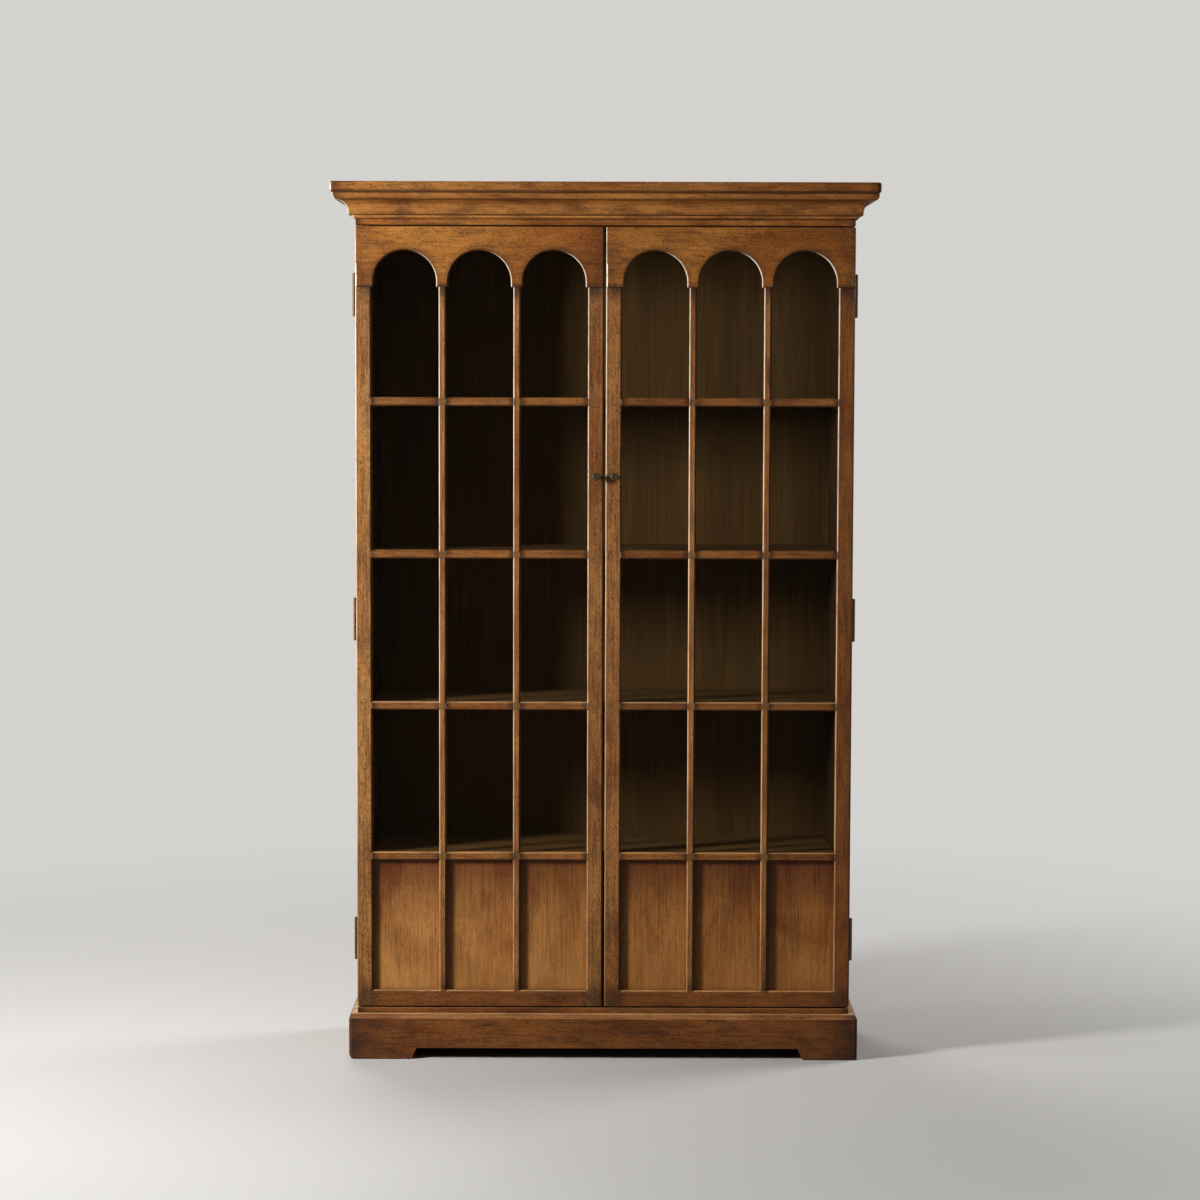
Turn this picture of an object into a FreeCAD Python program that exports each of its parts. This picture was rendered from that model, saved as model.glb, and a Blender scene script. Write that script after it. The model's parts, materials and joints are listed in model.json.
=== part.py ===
import FreeCAD, Part
import os

from FreeCAD import Vector

# A tall display cabinet of stained wood. Two glazed doors, each headed by a board with three round arches,
# close over a case with four shelves. A moulded cornice tops it and a low plinth with a cut-out toe carries it.
# Millimetres. X runs to the right, Y to the back and Z up, from the middle of the footprint on the floor.

# Whole cabinet
overall_width = 1318.0
overall_depth = 406.0
overall_height = 2134.0

# Plinth
plinth_height = 112.0
plinth_cap_thickness = 12.0
plinth_cap_bevel = 7.0
plinth_board_thickness = 25.0
plinth_front_reach = 16.0
plinth_side_reach = 21.0
plinth_corner_radius = 8.0
toe_height = 27.0
foot_width = 156.0
foot_slant = 12.0
foot_wear = 14.0
toe_shift = 10.0
corner_block_leg = 40.0
corner_block_lift = 15.0

# Cornice, each reach measured out from the face of the frieze
cornice_reach = 57.0
crown_thickness = 27.0
crown_corner_radius = 10.0
crown_top_round = 5.0
crown_bottom_round = 9.0
crown_overhang = 5.0
crown_bead_height = 15.0
crown_bead_draw_in = 6.0
cove_top_setback = 8.0
cove_bottom_reach = 17.0
cove_height = 32.0
fillet_height = 3.0
lip_undercut = 2.0
lip_reach = 7.0
lip_height = 9.0
frieze_height = 74.0
arc_middle_share = 0.70711

# Case
side_thickness = 36.0
case_panel_thickness = 25.0
base_rail_height = 13.0
top_panel_overlap = 18.0
back_thickness = 8.0
back_rebate = 10.0
back_clearance = 0.5
housing_depth = 8.0
housing_shoulder = 10.0
shelf_thickness = 18.0
shelf_drop = 3.0
shelf_end_clearance = 1.0
shelf_front_setback = 3.0
shelf_back_clearance = 2.0
peg_radius = 3.0
peg_hole_depth = 12.0
peg_reach = 10.0
peg_inset = 45.0
peg_clearance = 0.05

# Doors
door_bottom_gap = 4.0
door_top_gap = 4.0
door_gap = 4.5
door_back_gap = 2.0
door_side_reach = 1.0
door_thickness = 25.0
stile_width = 38.75
muntin_width = 17.6
bottom_rail_height = 39.5
crossbar_height = 21.0
lower_opening_height = 320.5
arch_row_height = 265.7
glazed_rows = 3
door_columns = 3
arcade_proud = 3.0
arch_top_margin = 56.7
capital_overhang = 5.9
capital_height = 12.36
edge_ease = 3.5

# Glazing and lower panels
rebate_width = 6.0
glass_setback = 13.0
glass_thickness = 3.0
pane_clearance = 1.0
glazing_bead_clearance = 0.3
glazing_bead_chamfer = 2.5
lower_panel_thickness = 8.0
groove_clearance = 0.2

# Door joinery
tenon_setback = 4.0
tenon_thickness = 6.0
tenon_clearance = 0.1
crossbar_tenon_length = 5.0
crossbar_tenon_shoulder = 4.5
muntin_tenon_length = 10.0
muntin_tenon_shoulder = 3.8
stile_tenon_length = 25.0
stile_tenon_shoulder = 8.4
rail_tenon_length = 25.0
rail_tenon_shoulder = 7.75

# Hinges
hinge_length = 101.6
hinge_inset = 163.5
knuckle_radius = 4.0
knuckle_side_gap = 0.3
knuckle_gap = 0.2
knuckles = 5
pin_radius = 2.1
pin_clearance = 0.05
pin_button_setback = 0.4
pin_button_thickness = 1.6
leaf_thickness = 1.8
leaf_width = 24.0
leaf_gap = 0.2
leaf_screw_spacing = 33.0
leaf_screw_stagger = 4.0

# Screws
screw_head_radius = 3.6
screw_head_height = 1.8
screw_shank_radius = 1.9
screw_tip_height = 4.0
screw_tip_radius = 0.3
screw_slot_width = 1.0
screw_slot_depth = 0.9
screw_clearance = 0.1
hinge_screw_length = 15.0
case_screw_length = 25.0
back_side_screw_count = 8
back_end_screw_count = 4
back_screw_end_margin = 60.0
plinth_row_screw_count = 3
plinth_screw_inset = 60.0
plinth_screw_end_margin = 150.0

# Knobs
knob_height_below_door_top = 600.0
knob_radius = 9.5
knob_rim = 1.5
knob_head_depth = 8.0
knob_boss_radius = 3.0
knob_boss_height = 1.2
knob_dish_radius = 7.0
knob_dish_depth = 1.0
knob_neck_radius = 3.2
knob_neck_length = 13.0
knob_stud_radius = 2.0
knob_stud_clearance = 0.1
rosette_radius = 8.0
rosette_thickness = 2.2
rosette_round = 1.2
knob_nut_radius = 5.0
knob_nut_thickness = 4.0
knob_nut_round = 1.2
knob_stud_end = 1.5

# Magnetic catches
catch_length = 26.0
catch_flange_length = 50.0
catch_flange_thickness = 3.0
catch_height = 14.0
catch_depth = 15.0
catch_gap = 0.3
catch_screw_spacing = 38.0
catch_edge_margin = 4.0
strike_length = 30.0
strike_height = 12.0
strike_thickness = 1.2
strike_spigot_radius = 2.0
strike_spigot_length = 8.0

# How far a cutting shape runs past the face that it opens, and how near a level an edge of that level lies
overrun = 2.0
level_tolerance = 0.05

# Main planes
crown_bottom = overall_height - crown_thickness
frieze_bottom = crown_bottom - frieze_height
frieze_half_width = overall_width / 2 - cornice_reach
rear = overall_depth / 2
door_face = -overall_depth / 2 + cornice_reach
door_back = door_face + door_thickness
case_front = door_back + door_back_gap
back_face = rear - back_thickness
side_inner = frieze_half_width - side_thickness
arcade_face = door_face - arcade_proud

plinth_half_width = frieze_half_width + plinth_side_reach
plinth_front_face = door_face - plinth_front_reach
plinth_board_top = plinth_height - plinth_cap_thickness

base_rail_top = plinth_height + base_rail_height
door_bottom = base_rail_top + door_bottom_gap
door_top = frieze_bottom - door_top_gap
door_inner_edge = door_gap / 2
door_outer_edge = frieze_half_width + door_side_reach
door_width = door_outer_edge - door_inner_edge
muntins = door_columns - 1
opening_width = (door_width - 2 * stile_width - muntins * muntin_width) / door_columns
column_pitch = opening_width + muntin_width
hinge_stile_inner = door_outer_edge - stile_width
meeting_stile_inner = door_inner_edge + stile_width

rail_top = door_bottom + bottom_rail_height
lower_opening_top = rail_top + lower_opening_height
arch_radius = opening_width / 2 - capital_overhang
arch_top = door_top - arch_top_margin
arch_spring = arch_top - arch_radius
arcade_bottom = arch_spring - capital_height
glazed_height = arcade_bottom - arch_row_height - lower_opening_top
pane_opening_height = (glazed_height - (glazed_rows + 1) * crossbar_height) / glazed_rows

glass_face = door_face + glass_setback
glass_back = glass_face + glass_thickness
groove_back = glass_face + lower_panel_thickness + groove_clearance

top_panel_bottom = frieze_bottom - top_panel_overlap
top_panel_top = top_panel_bottom + case_panel_thickness
bottom_panel_top = plinth_height + case_panel_thickness

hinge_x = door_outer_edge + knuckle_radius + knuckle_side_gap
hinge_y = door_back + door_back_gap / 2
hinge_levels = [door_bottom + hinge_inset, (door_bottom + door_top) / 2, door_top - hinge_inset]


def crossbar_tops():
    tops = [lower_opening_top + crossbar_height]
    for _ in range(glazed_rows):
        tops.append(tops[-1] + pane_opening_height + crossbar_height)
    return tops


def column_spans():
    spans = []
    for column in range(door_columns):
        left = meeting_stile_inner + column * column_pitch
        spans.append((left, left + opening_width))
    return spans


def muntin_spans():
    spans = []
    for left, right in column_spans()[:-1]:
        spans.append((right, right + muntin_width))
    return spans


def glazed_spans():
    tops = crossbar_tops()
    spans = []
    for lower, upper in zip(tops[:-1], tops[1:]):
        spans.append((lower, upper - crossbar_height))
    return spans


# Shapes that several pieces use

def box(x0, x1, y0, y1, z0, z1):
    return Part.makeBox(x1 - x0, y1 - y0, z1 - z0, Vector(x0, y0, z0))


def prism(points, run):
    return Part.Face(Part.makePolygon(points + [points[0]])).extrude(run)


def upright(footprint, z0, z1):
    return prism([Vector(x, y, z0) for x, y in footprint], Vector(0, 0, z1 - z0))


def mirrored(shape):
    return shape.mirror(Vector(0, 0, 0), Vector(1, 0, 0))


def both_sides(shapes):
    return shapes + [mirrored(shape) for shape in shapes]


def touching(piece, cutters):
    return [cutter for cutter in cutters if piece.BoundBox.intersect(cutter.BoundBox)]


def cut_by(piece, cutters):
    near = touching(piece, cutters)
    return piece.cut(near) if near else piece


def fused(first, *others):
    return first.fuse(list(others)).removeSplitter()


def turned(outline, centre, axis, across):
    points = [centre + axis * along + across * radius for along, radius in outline]
    face = Part.Face(Part.makePolygon(points + [points[0]]))
    return face.revolve(centre, axis, 360)


def front_corners(block):
    height = block.BoundBox.ZLength
    edges = [edge for edge in block.Edges if edge.BoundBox.YMax < 0]
    return [edge for edge in edges if edge.BoundBox.ZLength > height / 2]


def spread(first, last, count):
    step = (last - first) / (count - 1)
    return [first + step * index for index in range(count)]


# Screws: a head face centre, a direction into the wood and a length place each one

def screw_body(head, direction, length, clearance):
    radius = screw_shank_radius + clearance
    shank_start = head + direction * screw_head_height
    shank_length = length - screw_head_height - screw_tip_height
    cone = Part.makeCone(screw_head_radius, screw_shank_radius, screw_head_height, head, direction)
    shank = Part.makeCylinder(radius, shank_length, shank_start, direction)
    tip_start = shank_start + direction * shank_length
    tip = Part.makeCone(radius, screw_tip_radius + clearance, screw_tip_height, tip_start, direction)
    return cone.fuse([shank, tip])


def wood_screw(head, direction, length):
    width_y = 2 * screw_slot_depth * abs(direction.y) + screw_slot_width * abs(direction.z)
    width_z = 2 * screw_slot_depth * abs(direction.z) + screw_slot_width * abs(direction.y)
    corner = head - Vector(screw_head_radius, width_y / 2, width_z / 2)
    slot = Part.makeBox(2 * screw_head_radius, width_y, width_z, corner)
    return screw_body(head, direction, length, 0).cut(slot)


def screw_hole(head, direction, length):
    return screw_body(head, direction, length, screw_clearance)


# Places of the screws, for the right half where a piece is mirrored

def leaf_screw_places(face_y):
    x = door_outer_edge - leaf_width / 2
    places = []
    for level in hinge_levels:
        for row in (-1, 0, 1):
            stagger = leaf_screw_stagger * (1 - 2 * abs(row))
            places.append(Vector(x + stagger, face_y, level + row * leaf_screw_spacing))
    return places


def back_screw_places():
    side_x = side_inner + (back_rebate - back_clearance) / 2
    first = plinth_height + back_screw_end_margin
    last = crown_bottom - back_screw_end_margin
    places = [Vector(side_x, rear, z) for z in spread(first, last, back_side_screw_count)]
    places += [Vector(-place.x, rear, place.z) for place in places]
    reach = side_inner - back_screw_end_margin
    for x in spread(-reach, reach, back_end_screw_count):
        places.append(Vector(x, rear, plinth_height + case_panel_thickness / 2))
        places.append(Vector(x, rear, top_panel_bottom + case_panel_thickness / 2))
    return places


def plinth_screw_places():
    reach = side_inner - plinth_screw_end_margin
    places = []
    for y in (case_front + plinth_screw_inset, back_face - plinth_screw_inset):
        places += [Vector(x, y, plinth_board_top) for x in spread(-reach, reach, plinth_row_screw_count)]
    return places


def catch_centre_x():
    return door_inner_edge + catch_edge_margin + catch_flange_length / 2


def catch_face():
    return door_back + strike_thickness + catch_gap


def catch_screw_places():
    y = catch_face() + catch_depth / 2
    z = top_panel_bottom - catch_flange_thickness
    return [Vector(catch_centre_x() + side * catch_screw_spacing / 2, y, z) for side in (-1, 1)]


back_direction = Vector(0, 1, 0)
front_direction = Vector(0, -1, 0)
up_direction = Vector(0, 0, 1)


def holes(places, direction, length):
    return [screw_hole(place, direction, length) for place in places]


def screws(places, direction, length):
    return [wood_screw(place, direction, length) for place in places]


# Plinth

def plinth_shell():
    outer = box(-plinth_half_width, plinth_half_width, plinth_front_face, rear, 0, plinth_board_top)
    inner_half = plinth_half_width - plinth_board_thickness
    inner_front = plinth_front_face + plinth_board_thickness
    hollow = box(-inner_half, inner_half, inner_front, rear + overrun, -overrun, plinth_height)
    return outer.makeFillet(plinth_corner_radius, front_corners(outer)).cut(hollow)


def worn_corner():
    left = -plinth_half_width
    near = plinth_front_face - overrun
    far = rear + overrun
    corner = box(left - overrun, left + foot_wear, near, far, -overrun, foot_wear)
    kept = Part.makeCylinder(foot_wear, far - near, Vector(left + foot_wear, near, foot_wear), Vector(0, 1, 0))
    return corner.cut(kept)


def plinth_front():
    inner_half = plinth_half_width - plinth_board_thickness
    inner_front = plinth_front_face + plinth_board_thickness
    footprint = [
        (-plinth_half_width, plinth_front_face),
        (plinth_half_width, plinth_front_face),
        (inner_half, inner_front),
        (-inner_half, inner_front),
    ]
    board = plinth_shell().common(upright(footprint, 0, plinth_board_top))
    toe_left = -plinth_half_width + foot_width + toe_shift
    toe_right = plinth_half_width - foot_width + toe_shift
    below = -overrun
    spill = foot_slant * (1 + overrun / toe_height)
    start = plinth_front_face - overrun
    toe = [
        Vector(toe_left, start, toe_height),
        Vector(toe_left - spill, start, below),
        Vector(toe_right + spill, start, below),
        Vector(toe_right, start, toe_height),
    ]
    return board.cut([prism(toe, Vector(0, plinth_board_thickness + 2 * overrun, 0)), worn_corner()])


def plinth_right():
    inner_half = plinth_half_width - plinth_board_thickness
    inner_front = plinth_front_face + plinth_board_thickness
    footprint = [
        (plinth_half_width, plinth_front_face),
        (plinth_half_width, rear),
        (inner_half, rear),
        (inner_half, inner_front),
    ]
    return plinth_shell().common(upright(footprint, 0, plinth_board_top))


def plinth_left():
    return mirrored(plinth_right()).cut(worn_corner())


def plinth_back():
    inner_half = plinth_half_width - plinth_board_thickness
    return box(-inner_half, inner_half, rear - plinth_board_thickness, rear, 0, plinth_board_top)


def plinth_top_board():
    half = plinth_half_width
    top_half = half - plinth_cap_bevel
    front = plinth_front_face
    low = plinth_board_top
    block = box(-half, half, front, rear, low, plinth_height)
    block = block.makeFillet(plinth_corner_radius, front_corners(block))
    bevelled_ends = prism([
        Vector(-half, front, low),
        Vector(half, front, low),
        Vector(top_half, front, plinth_height),
        Vector(-top_half, front, plinth_height),
    ], Vector(0, rear - front, 0))
    bevelled_front = prism([
        Vector(-half, front, low),
        Vector(-half, rear, low),
        Vector(-half, rear, plinth_height),
        Vector(-half, front + plinth_cap_bevel, plinth_height),
    ], Vector(2 * half, 0, 0))
    board = block.common(bevelled_ends).common(bevelled_front)
    return cut_by(board, holes(plinth_screw_places(), up_direction, case_screw_length))


def plinth_corner_blocks():
    x = plinth_half_width - plinth_board_thickness
    blocks = []
    for y, turn in ((plinth_front_face + plinth_board_thickness, 1), (rear - plinth_board_thickness, -1)):
        footprint = [(x, y), (x - corner_block_leg, y), (x, y + turn * corner_block_leg)]
        blocks.append(upright(footprint, corner_block_lift, plinth_board_top))
    return both_sides(blocks)


# Case

def back_screw_holes():
    return holes(back_screw_places(), front_direction, case_screw_length)


def peg_places():
    ys = (case_front + peg_inset, back_face - peg_inset)
    return [(y, shelf_bottom(top) - peg_radius) for top in crossbar_tops() for y in ys]


def shelf_bottom(bar_top):
    return bar_top - shelf_drop - shelf_thickness


def side_panel_right():
    panel = box(side_inner, frieze_half_width, case_front, rear, plinth_height, crown_bottom)
    housed = side_inner + housing_depth
    cutters = [
        box(side_inner - overrun, side_inner + back_rebate, back_face, rear + overrun,
            plinth_height - overrun, crown_bottom + overrun),
        box(side_inner - overrun, housed, case_front - overrun, rear,
            plinth_height - overrun, bottom_panel_top - housing_shoulder),
        box(side_inner - overrun, housed, case_front - overrun, rear,
            top_panel_bottom + housing_shoulder, top_panel_top),
    ]
    for y, z in peg_places():
        mouth = Vector(side_inner - overrun, y, z)
        depth = peg_hole_depth + overrun
        cutters.append(Part.makeCylinder(peg_radius + peg_clearance, depth, mouth, Vector(1, 0, 0)))
    cutters += back_screw_holes()
    cutters += leaf_mortises(case_front)
    cutters += holes(leaf_screw_places(hinge_y + leaf_gap / 2), back_direction, hinge_screw_length)
    return cut_by(panel, cutters)


def case_panel(z0, z1, tongue_z0, tongue_z1):
    half = side_inner + housing_depth
    board = box(-side_inner, side_inner, case_front, back_face, z0, z1)
    panel = fused(board, box(-half, half, case_front, back_face, tongue_z0, tongue_z1))
    cutters = back_screw_holes()
    cutters += holes(plinth_screw_places(), up_direction, case_screw_length)
    catch_holes = holes(catch_screw_places(), up_direction, case_screw_length)
    return cut_by(panel, cutters + both_sides(catch_holes))


def bottom_panel():
    return case_panel(plinth_height, bottom_panel_top, plinth_height, bottom_panel_top - housing_shoulder)


def top_panel():
    return case_panel(top_panel_bottom, top_panel_top, top_panel_bottom + housing_shoulder, top_panel_top)


def back_panel():
    half = side_inner + back_rebate - back_clearance
    panel = box(-half, half, back_face, rear, plinth_height, crown_bottom)
    return cut_by(panel, back_screw_holes())


def shelf(bar_top):
    half = side_inner - shelf_end_clearance
    bottom = shelf_bottom(bar_top)
    front = case_front + shelf_front_setback
    return box(-half, half, front, back_face - shelf_back_clearance, bottom, bottom + shelf_thickness)


def shelf_pegs():
    pegs = []
    for y, z in peg_places():
        start = Vector(side_inner - peg_reach, y, z)
        pegs.append(Part.makeCylinder(peg_radius, peg_reach + peg_hole_depth, start, Vector(1, 0, 0)))
    return both_sides(pegs)


def frieze_rail():
    return box(-frieze_half_width, frieze_half_width, door_face, case_front, frieze_bottom, crown_bottom)


def base_rail():
    return box(-frieze_half_width, frieze_half_width, door_face, case_front, plinth_height, base_rail_top)


# Cornice

def moulding_face(place):
    bead_bottom = crown_bottom - crown_bead_height
    cove_bottom = bead_bottom - cove_height
    fillet_bottom = cove_bottom - fillet_height
    lip_top = fillet_bottom - lip_undercut
    lip_bottom = lip_top - lip_height
    bead_reach = cornice_reach - crown_overhang
    bead_low_reach = bead_reach - crown_bead_draw_in
    cove_top_reach = bead_reach - cove_top_setback
    cove_run = cove_top_reach - cove_bottom_reach
    bead_middle = place(bead_reach - crown_bead_draw_in * (1 - arc_middle_share),
                        crown_bottom - crown_bead_height * arc_middle_share)
    cove_middle = place(cove_top_reach - cove_run * arc_middle_share,
                        cove_bottom + cove_height * arc_middle_share)
    lip_middle = place(lip_reach * arc_middle_share, lip_bottom + lip_height * (1 - arc_middle_share))
    inner_top = place(0, crown_bottom)
    bead_top_end = place(bead_reach, crown_bottom)
    bead_low_end = place(bead_low_reach, bead_bottom)
    cove_top_end = place(cove_top_reach, bead_bottom)
    cove_low_end = place(cove_bottom_reach, cove_bottom)
    fillet_end = place(cove_bottom_reach, fillet_bottom)
    lip_top_end = place(lip_reach, lip_top)
    inner_bottom = place(0, lip_bottom)
    edges = [
        Part.LineSegment(inner_top, bead_top_end),
        Part.Arc(bead_top_end, bead_middle, bead_low_end),
        Part.LineSegment(bead_low_end, cove_top_end),
        Part.Arc(cove_top_end, cove_middle, cove_low_end),
        Part.LineSegment(cove_low_end, fillet_end),
        Part.LineSegment(fillet_end, lip_top_end),
        Part.Arc(lip_top_end, lip_middle, inner_bottom),
        Part.LineSegment(inner_bottom, inner_top),
    ]
    return Part.Face(Part.Wire([edge.toShape() for edge in edges]))


def cornice_front():
    start = -frieze_half_width - cornice_reach
    front = door_face - cornice_reach
    profile = moulding_face(lambda reach, z: Vector(start, door_face - reach, z))
    run = profile.extrude(Vector(-2 * start, 0, 0))
    footprint = [
        (-frieze_half_width, door_face),
        (frieze_half_width, door_face),
        (-start, front),
        (start, front),
    ]
    return run.common(upright(footprint, frieze_bottom, crown_bottom))


def cornice_right():
    start = door_face - cornice_reach
    profile = moulding_face(lambda reach, z: Vector(frieze_half_width + reach, start, z))
    run = profile.extrude(Vector(0, rear - start, 0))
    outer = frieze_half_width + cornice_reach
    footprint = [
        (frieze_half_width, door_face),
        (outer, start),
        (outer, rear),
        (frieze_half_width, rear),
    ]
    return run.common(upright(footprint, frieze_bottom, crown_bottom))


def outline_edges(shape, z):
    found = []
    for edge in shape.Edges:
        bounds = edge.BoundBox
        level = abs(bounds.ZMin - z) < level_tolerance and bounds.ZLength < level_tolerance
        if level and bounds.YMin < rear - level_tolerance:
            found.append(edge)
    return found


def cornice_top_board():
    half = overall_width / 2
    board = box(-half, half, -overall_depth / 2, rear, crown_bottom, overall_height)
    board = board.makeFillet(crown_corner_radius, front_corners(board))
    board = board.makeFillet(crown_top_round, outline_edges(board, overall_height))
    return board.makeFillet(crown_bottom_round, outline_edges(board, crown_bottom))


# Door cutters, for the right door

def eased_opening(x0, x1, z0, z1):
    out = edge_ease + overrun
    front = door_face - overrun
    back = door_face + edge_ease
    return Part.makeWedge(x0 - out, front, z0 - out, z0, x0, x1 + out, back, z1 + out, z1, x1)


def arch_cutters(middle):
    low = arcade_bottom - overrun
    front = arcade_face - overrun
    eased = arcade_face + edge_ease
    out = edge_ease + overrun
    left = middle - arch_radius
    right = middle + arch_radius
    centre = Vector(middle, front, arch_spring)
    depth = door_back + overrun - front
    return [
        box(left, right, front, door_back + overrun, low, arch_spring),
        Part.makeCylinder(arch_radius, depth, centre, back_direction),
        Part.makeWedge(left - out, front, low, low, left, right + out, eased, arch_spring, arch_spring, right),
        Part.makeCone(arch_radius + out, arch_radius, out, centre, back_direction),
    ]


def opening_eases():
    above_board = arcade_bottom + edge_ease + overrun
    arch_row = [(crossbar_tops()[-1], above_board)]
    rows = [(rail_top, lower_opening_top)] + glazed_spans() + arch_row
    return [eased_opening(x0, x1, z0, z1) for x0, x1 in column_spans() for z0, z1 in rows]


def edge_chamfer(x, inward, face):
    leg = edge_ease + overrun
    points = [
        (x - inward * overrun, face - overrun),
        (x + inward * leg, face - overrun),
        (x - inward * overrun, face + leg),
    ]
    return upright(points, door_bottom - overrun, door_top + overrun)


def pane_spans():
    return glazed_spans() + [(crossbar_tops()[-1], arch_top)]


def glass_rebates():
    wide = rebate_width
    far = door_back + overrun
    return [box(x0 - wide, x1 + wide, glass_face, far, z0 - wide, z1 + wide)
            for x0, x1 in column_spans() for z0, z1 in pane_spans()]


def panel_grooves():
    deep = rebate_width
    return [box(x0 - deep, x1 + deep, glass_face, groove_back, rail_top - deep, lower_opening_top + deep)
            for x0, x1 in column_spans()]


def tenon(x0, x1, z0, z1):
    near = door_face + tenon_setback
    return box(x0, x1, near, near + tenon_thickness, z0, z1)


def mortise(x0, x1, z0, z1, grow_x, grow_z):
    near = door_face + tenon_setback
    far = near + tenon_thickness
    gap = tenon_clearance
    return box(x0 - gap * grow_x[0], x1 + gap * grow_x[1], near - gap, far + gap,
               z0 - gap * grow_z[0], z1 + gap * grow_z[1])


def crossbar_tenon_level(bar_top):
    return bar_top - crossbar_height + crossbar_tenon_shoulder, bar_top - crossbar_tenon_shoulder


def rail_tenon_level():
    return door_bottom + rail_tenon_shoulder, rail_top - rail_tenon_shoulder


def crossbar_mortises():
    sockets = []
    for bar_top in crossbar_tops():
        z0, z1 = crossbar_tenon_level(bar_top)
        for x0, x1 in column_spans():
            sockets.append(mortise(x0 - crossbar_tenon_length, x0, z0, z1, (1, 0), (1, 1)))
            sockets.append(mortise(x1, x1 + crossbar_tenon_length, z0, z1, (0, 1), (1, 1)))
    return sockets


def rail_mortises():
    z0, z1 = rail_tenon_level()
    return [
        mortise(meeting_stile_inner - rail_tenon_length, meeting_stile_inner, z0, z1, (1, 0), (1, 1)),
        mortise(hinge_stile_inner, hinge_stile_inner + rail_tenon_length, z0, z1, (0, 1), (1, 1)),
    ]


def stile_tenon_span(x0, x1):
    return x0 + stile_tenon_shoulder, x1 - stile_tenon_shoulder


def muntin_tenon_span(x0, x1):
    return x0 + muntin_tenon_shoulder, x1 - muntin_tenon_shoulder


def stile_spans():
    return [(door_inner_edge, meeting_stile_inner), (hinge_stile_inner, door_outer_edge)]


def arcade_mortises():
    sockets = []
    for x0, x1 in stile_spans():
        t0, t1 = stile_tenon_span(x0, x1)
        sockets.append(mortise(t0, t1, arcade_bottom, arcade_bottom + stile_tenon_length, (1, 1), (0, 1)))
    for x0, x1 in muntin_spans():
        t0, t1 = muntin_tenon_span(x0, x1)
        sockets.append(mortise(t0, t1, arcade_bottom, arcade_bottom + muntin_tenon_length, (1, 1), (0, 1)))
    return sockets


def rail_top_mortises():
    sockets = []
    for x0, x1 in muntin_spans():
        t0, t1 = muntin_tenon_span(x0, x1)
        sockets.append(mortise(t0, t1, rail_top - muntin_tenon_length, rail_top, (1, 1), (1, 0)))
    return sockets


def leaf_mortises(wood_face):
    half = leaf_thickness - (door_back_gap - leaf_gap) / 2
    places = []
    for level in hinge_levels:
        places.append(box(door_outer_edge - leaf_width, door_outer_edge + overrun, wood_face - half,
                          wood_face + half, level - hinge_length / 2, level + hinge_length / 2))
    return places


def door_screw_holes():
    return holes(leaf_screw_places(hinge_y - leaf_gap / 2), front_direction, hinge_screw_length)


def frame_cutters():
    return opening_eases() + glass_rebates() + panel_grooves()


# Door pieces, for the right door

def stile(x0, x1):
    post = box(x0, x1, door_face, door_back, door_bottom, arcade_bottom)
    cutters = frame_cutters() + crossbar_mortises() + rail_mortises() + leaf_mortises(door_back)
    cutters.append(edge_chamfer(door_inner_edge, 1, door_face))
    cutters.append(edge_chamfer(door_outer_edge, -1, door_face))
    t0, t1 = stile_tenon_span(x0, x1)
    top = tenon(t0, t1, arcade_bottom, arcade_bottom + stile_tenon_length)
    post = fused(cut_by(post, cutters), top)
    return cut_by(post, door_screw_holes() + [knob_hole()])


def muntin(x0, x1):
    post = box(x0, x1, door_face, door_back, rail_top, arcade_bottom)
    post = cut_by(post, frame_cutters() + crossbar_mortises())
    t0, t1 = muntin_tenon_span(x0, x1)
    top = tenon(t0, t1, arcade_bottom, arcade_bottom + muntin_tenon_length)
    foot = tenon(t0, t1, rail_top - muntin_tenon_length, rail_top)
    return fused(post, top, foot)


def bottom_rail():
    rail = box(meeting_stile_inner, hinge_stile_inner, door_face, door_back, door_bottom, rail_top)
    rail = cut_by(rail, frame_cutters() + rail_top_mortises())
    z0, z1 = rail_tenon_level()
    near = tenon(meeting_stile_inner - rail_tenon_length, meeting_stile_inner, z0, z1)
    far = tenon(hinge_stile_inner, hinge_stile_inner + rail_tenon_length, z0, z1)
    return fused(rail, near, far)


def crossbars():
    bars = []
    cutters = frame_cutters()
    for bar_top in crossbar_tops():
        z0, z1 = crossbar_tenon_level(bar_top)
        for x0, x1 in column_spans():
            bar = box(x0, x1, door_face, door_back, bar_top - crossbar_height, bar_top)
            bar = cut_by(bar, cutters)
            near = tenon(x0 - crossbar_tenon_length, x0, z0, z1)
            far = tenon(x1, x1 + crossbar_tenon_length, z0, z1)
            bars.append(fused(bar, near, far))
    return bars


def arcade_board():
    board = box(door_inner_edge, door_outer_edge, arcade_face, door_back, arcade_bottom, door_top)
    cutters = glass_rebates() + arcade_mortises() + leaf_mortises(door_back) + door_screw_holes()
    for x0, x1 in column_spans():
        cutters += arch_cutters((x0 + x1) / 2)
    cutters.append(edge_chamfer(door_inner_edge, 1, arcade_face))
    cutters.append(edge_chamfer(door_outer_edge, -1, arcade_face))
    cutters.append(strike_spigot())
    return cut_by(board, cutters)


def lower_panels():
    deep = rebate_width - pane_clearance
    far = glass_face + lower_panel_thickness
    return [box(x0 - deep, x1 + deep, glass_face, far, rail_top - deep, lower_opening_top + deep)
            for x0, x1 in column_spans()]


def glass_panes():
    deep = rebate_width - pane_clearance
    return [box(x0 - deep, x1 + deep, glass_face, glass_back, z0 - deep, z1 + deep)
            for x0, x1 in column_spans() for z0, z1 in pane_spans()]


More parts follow.
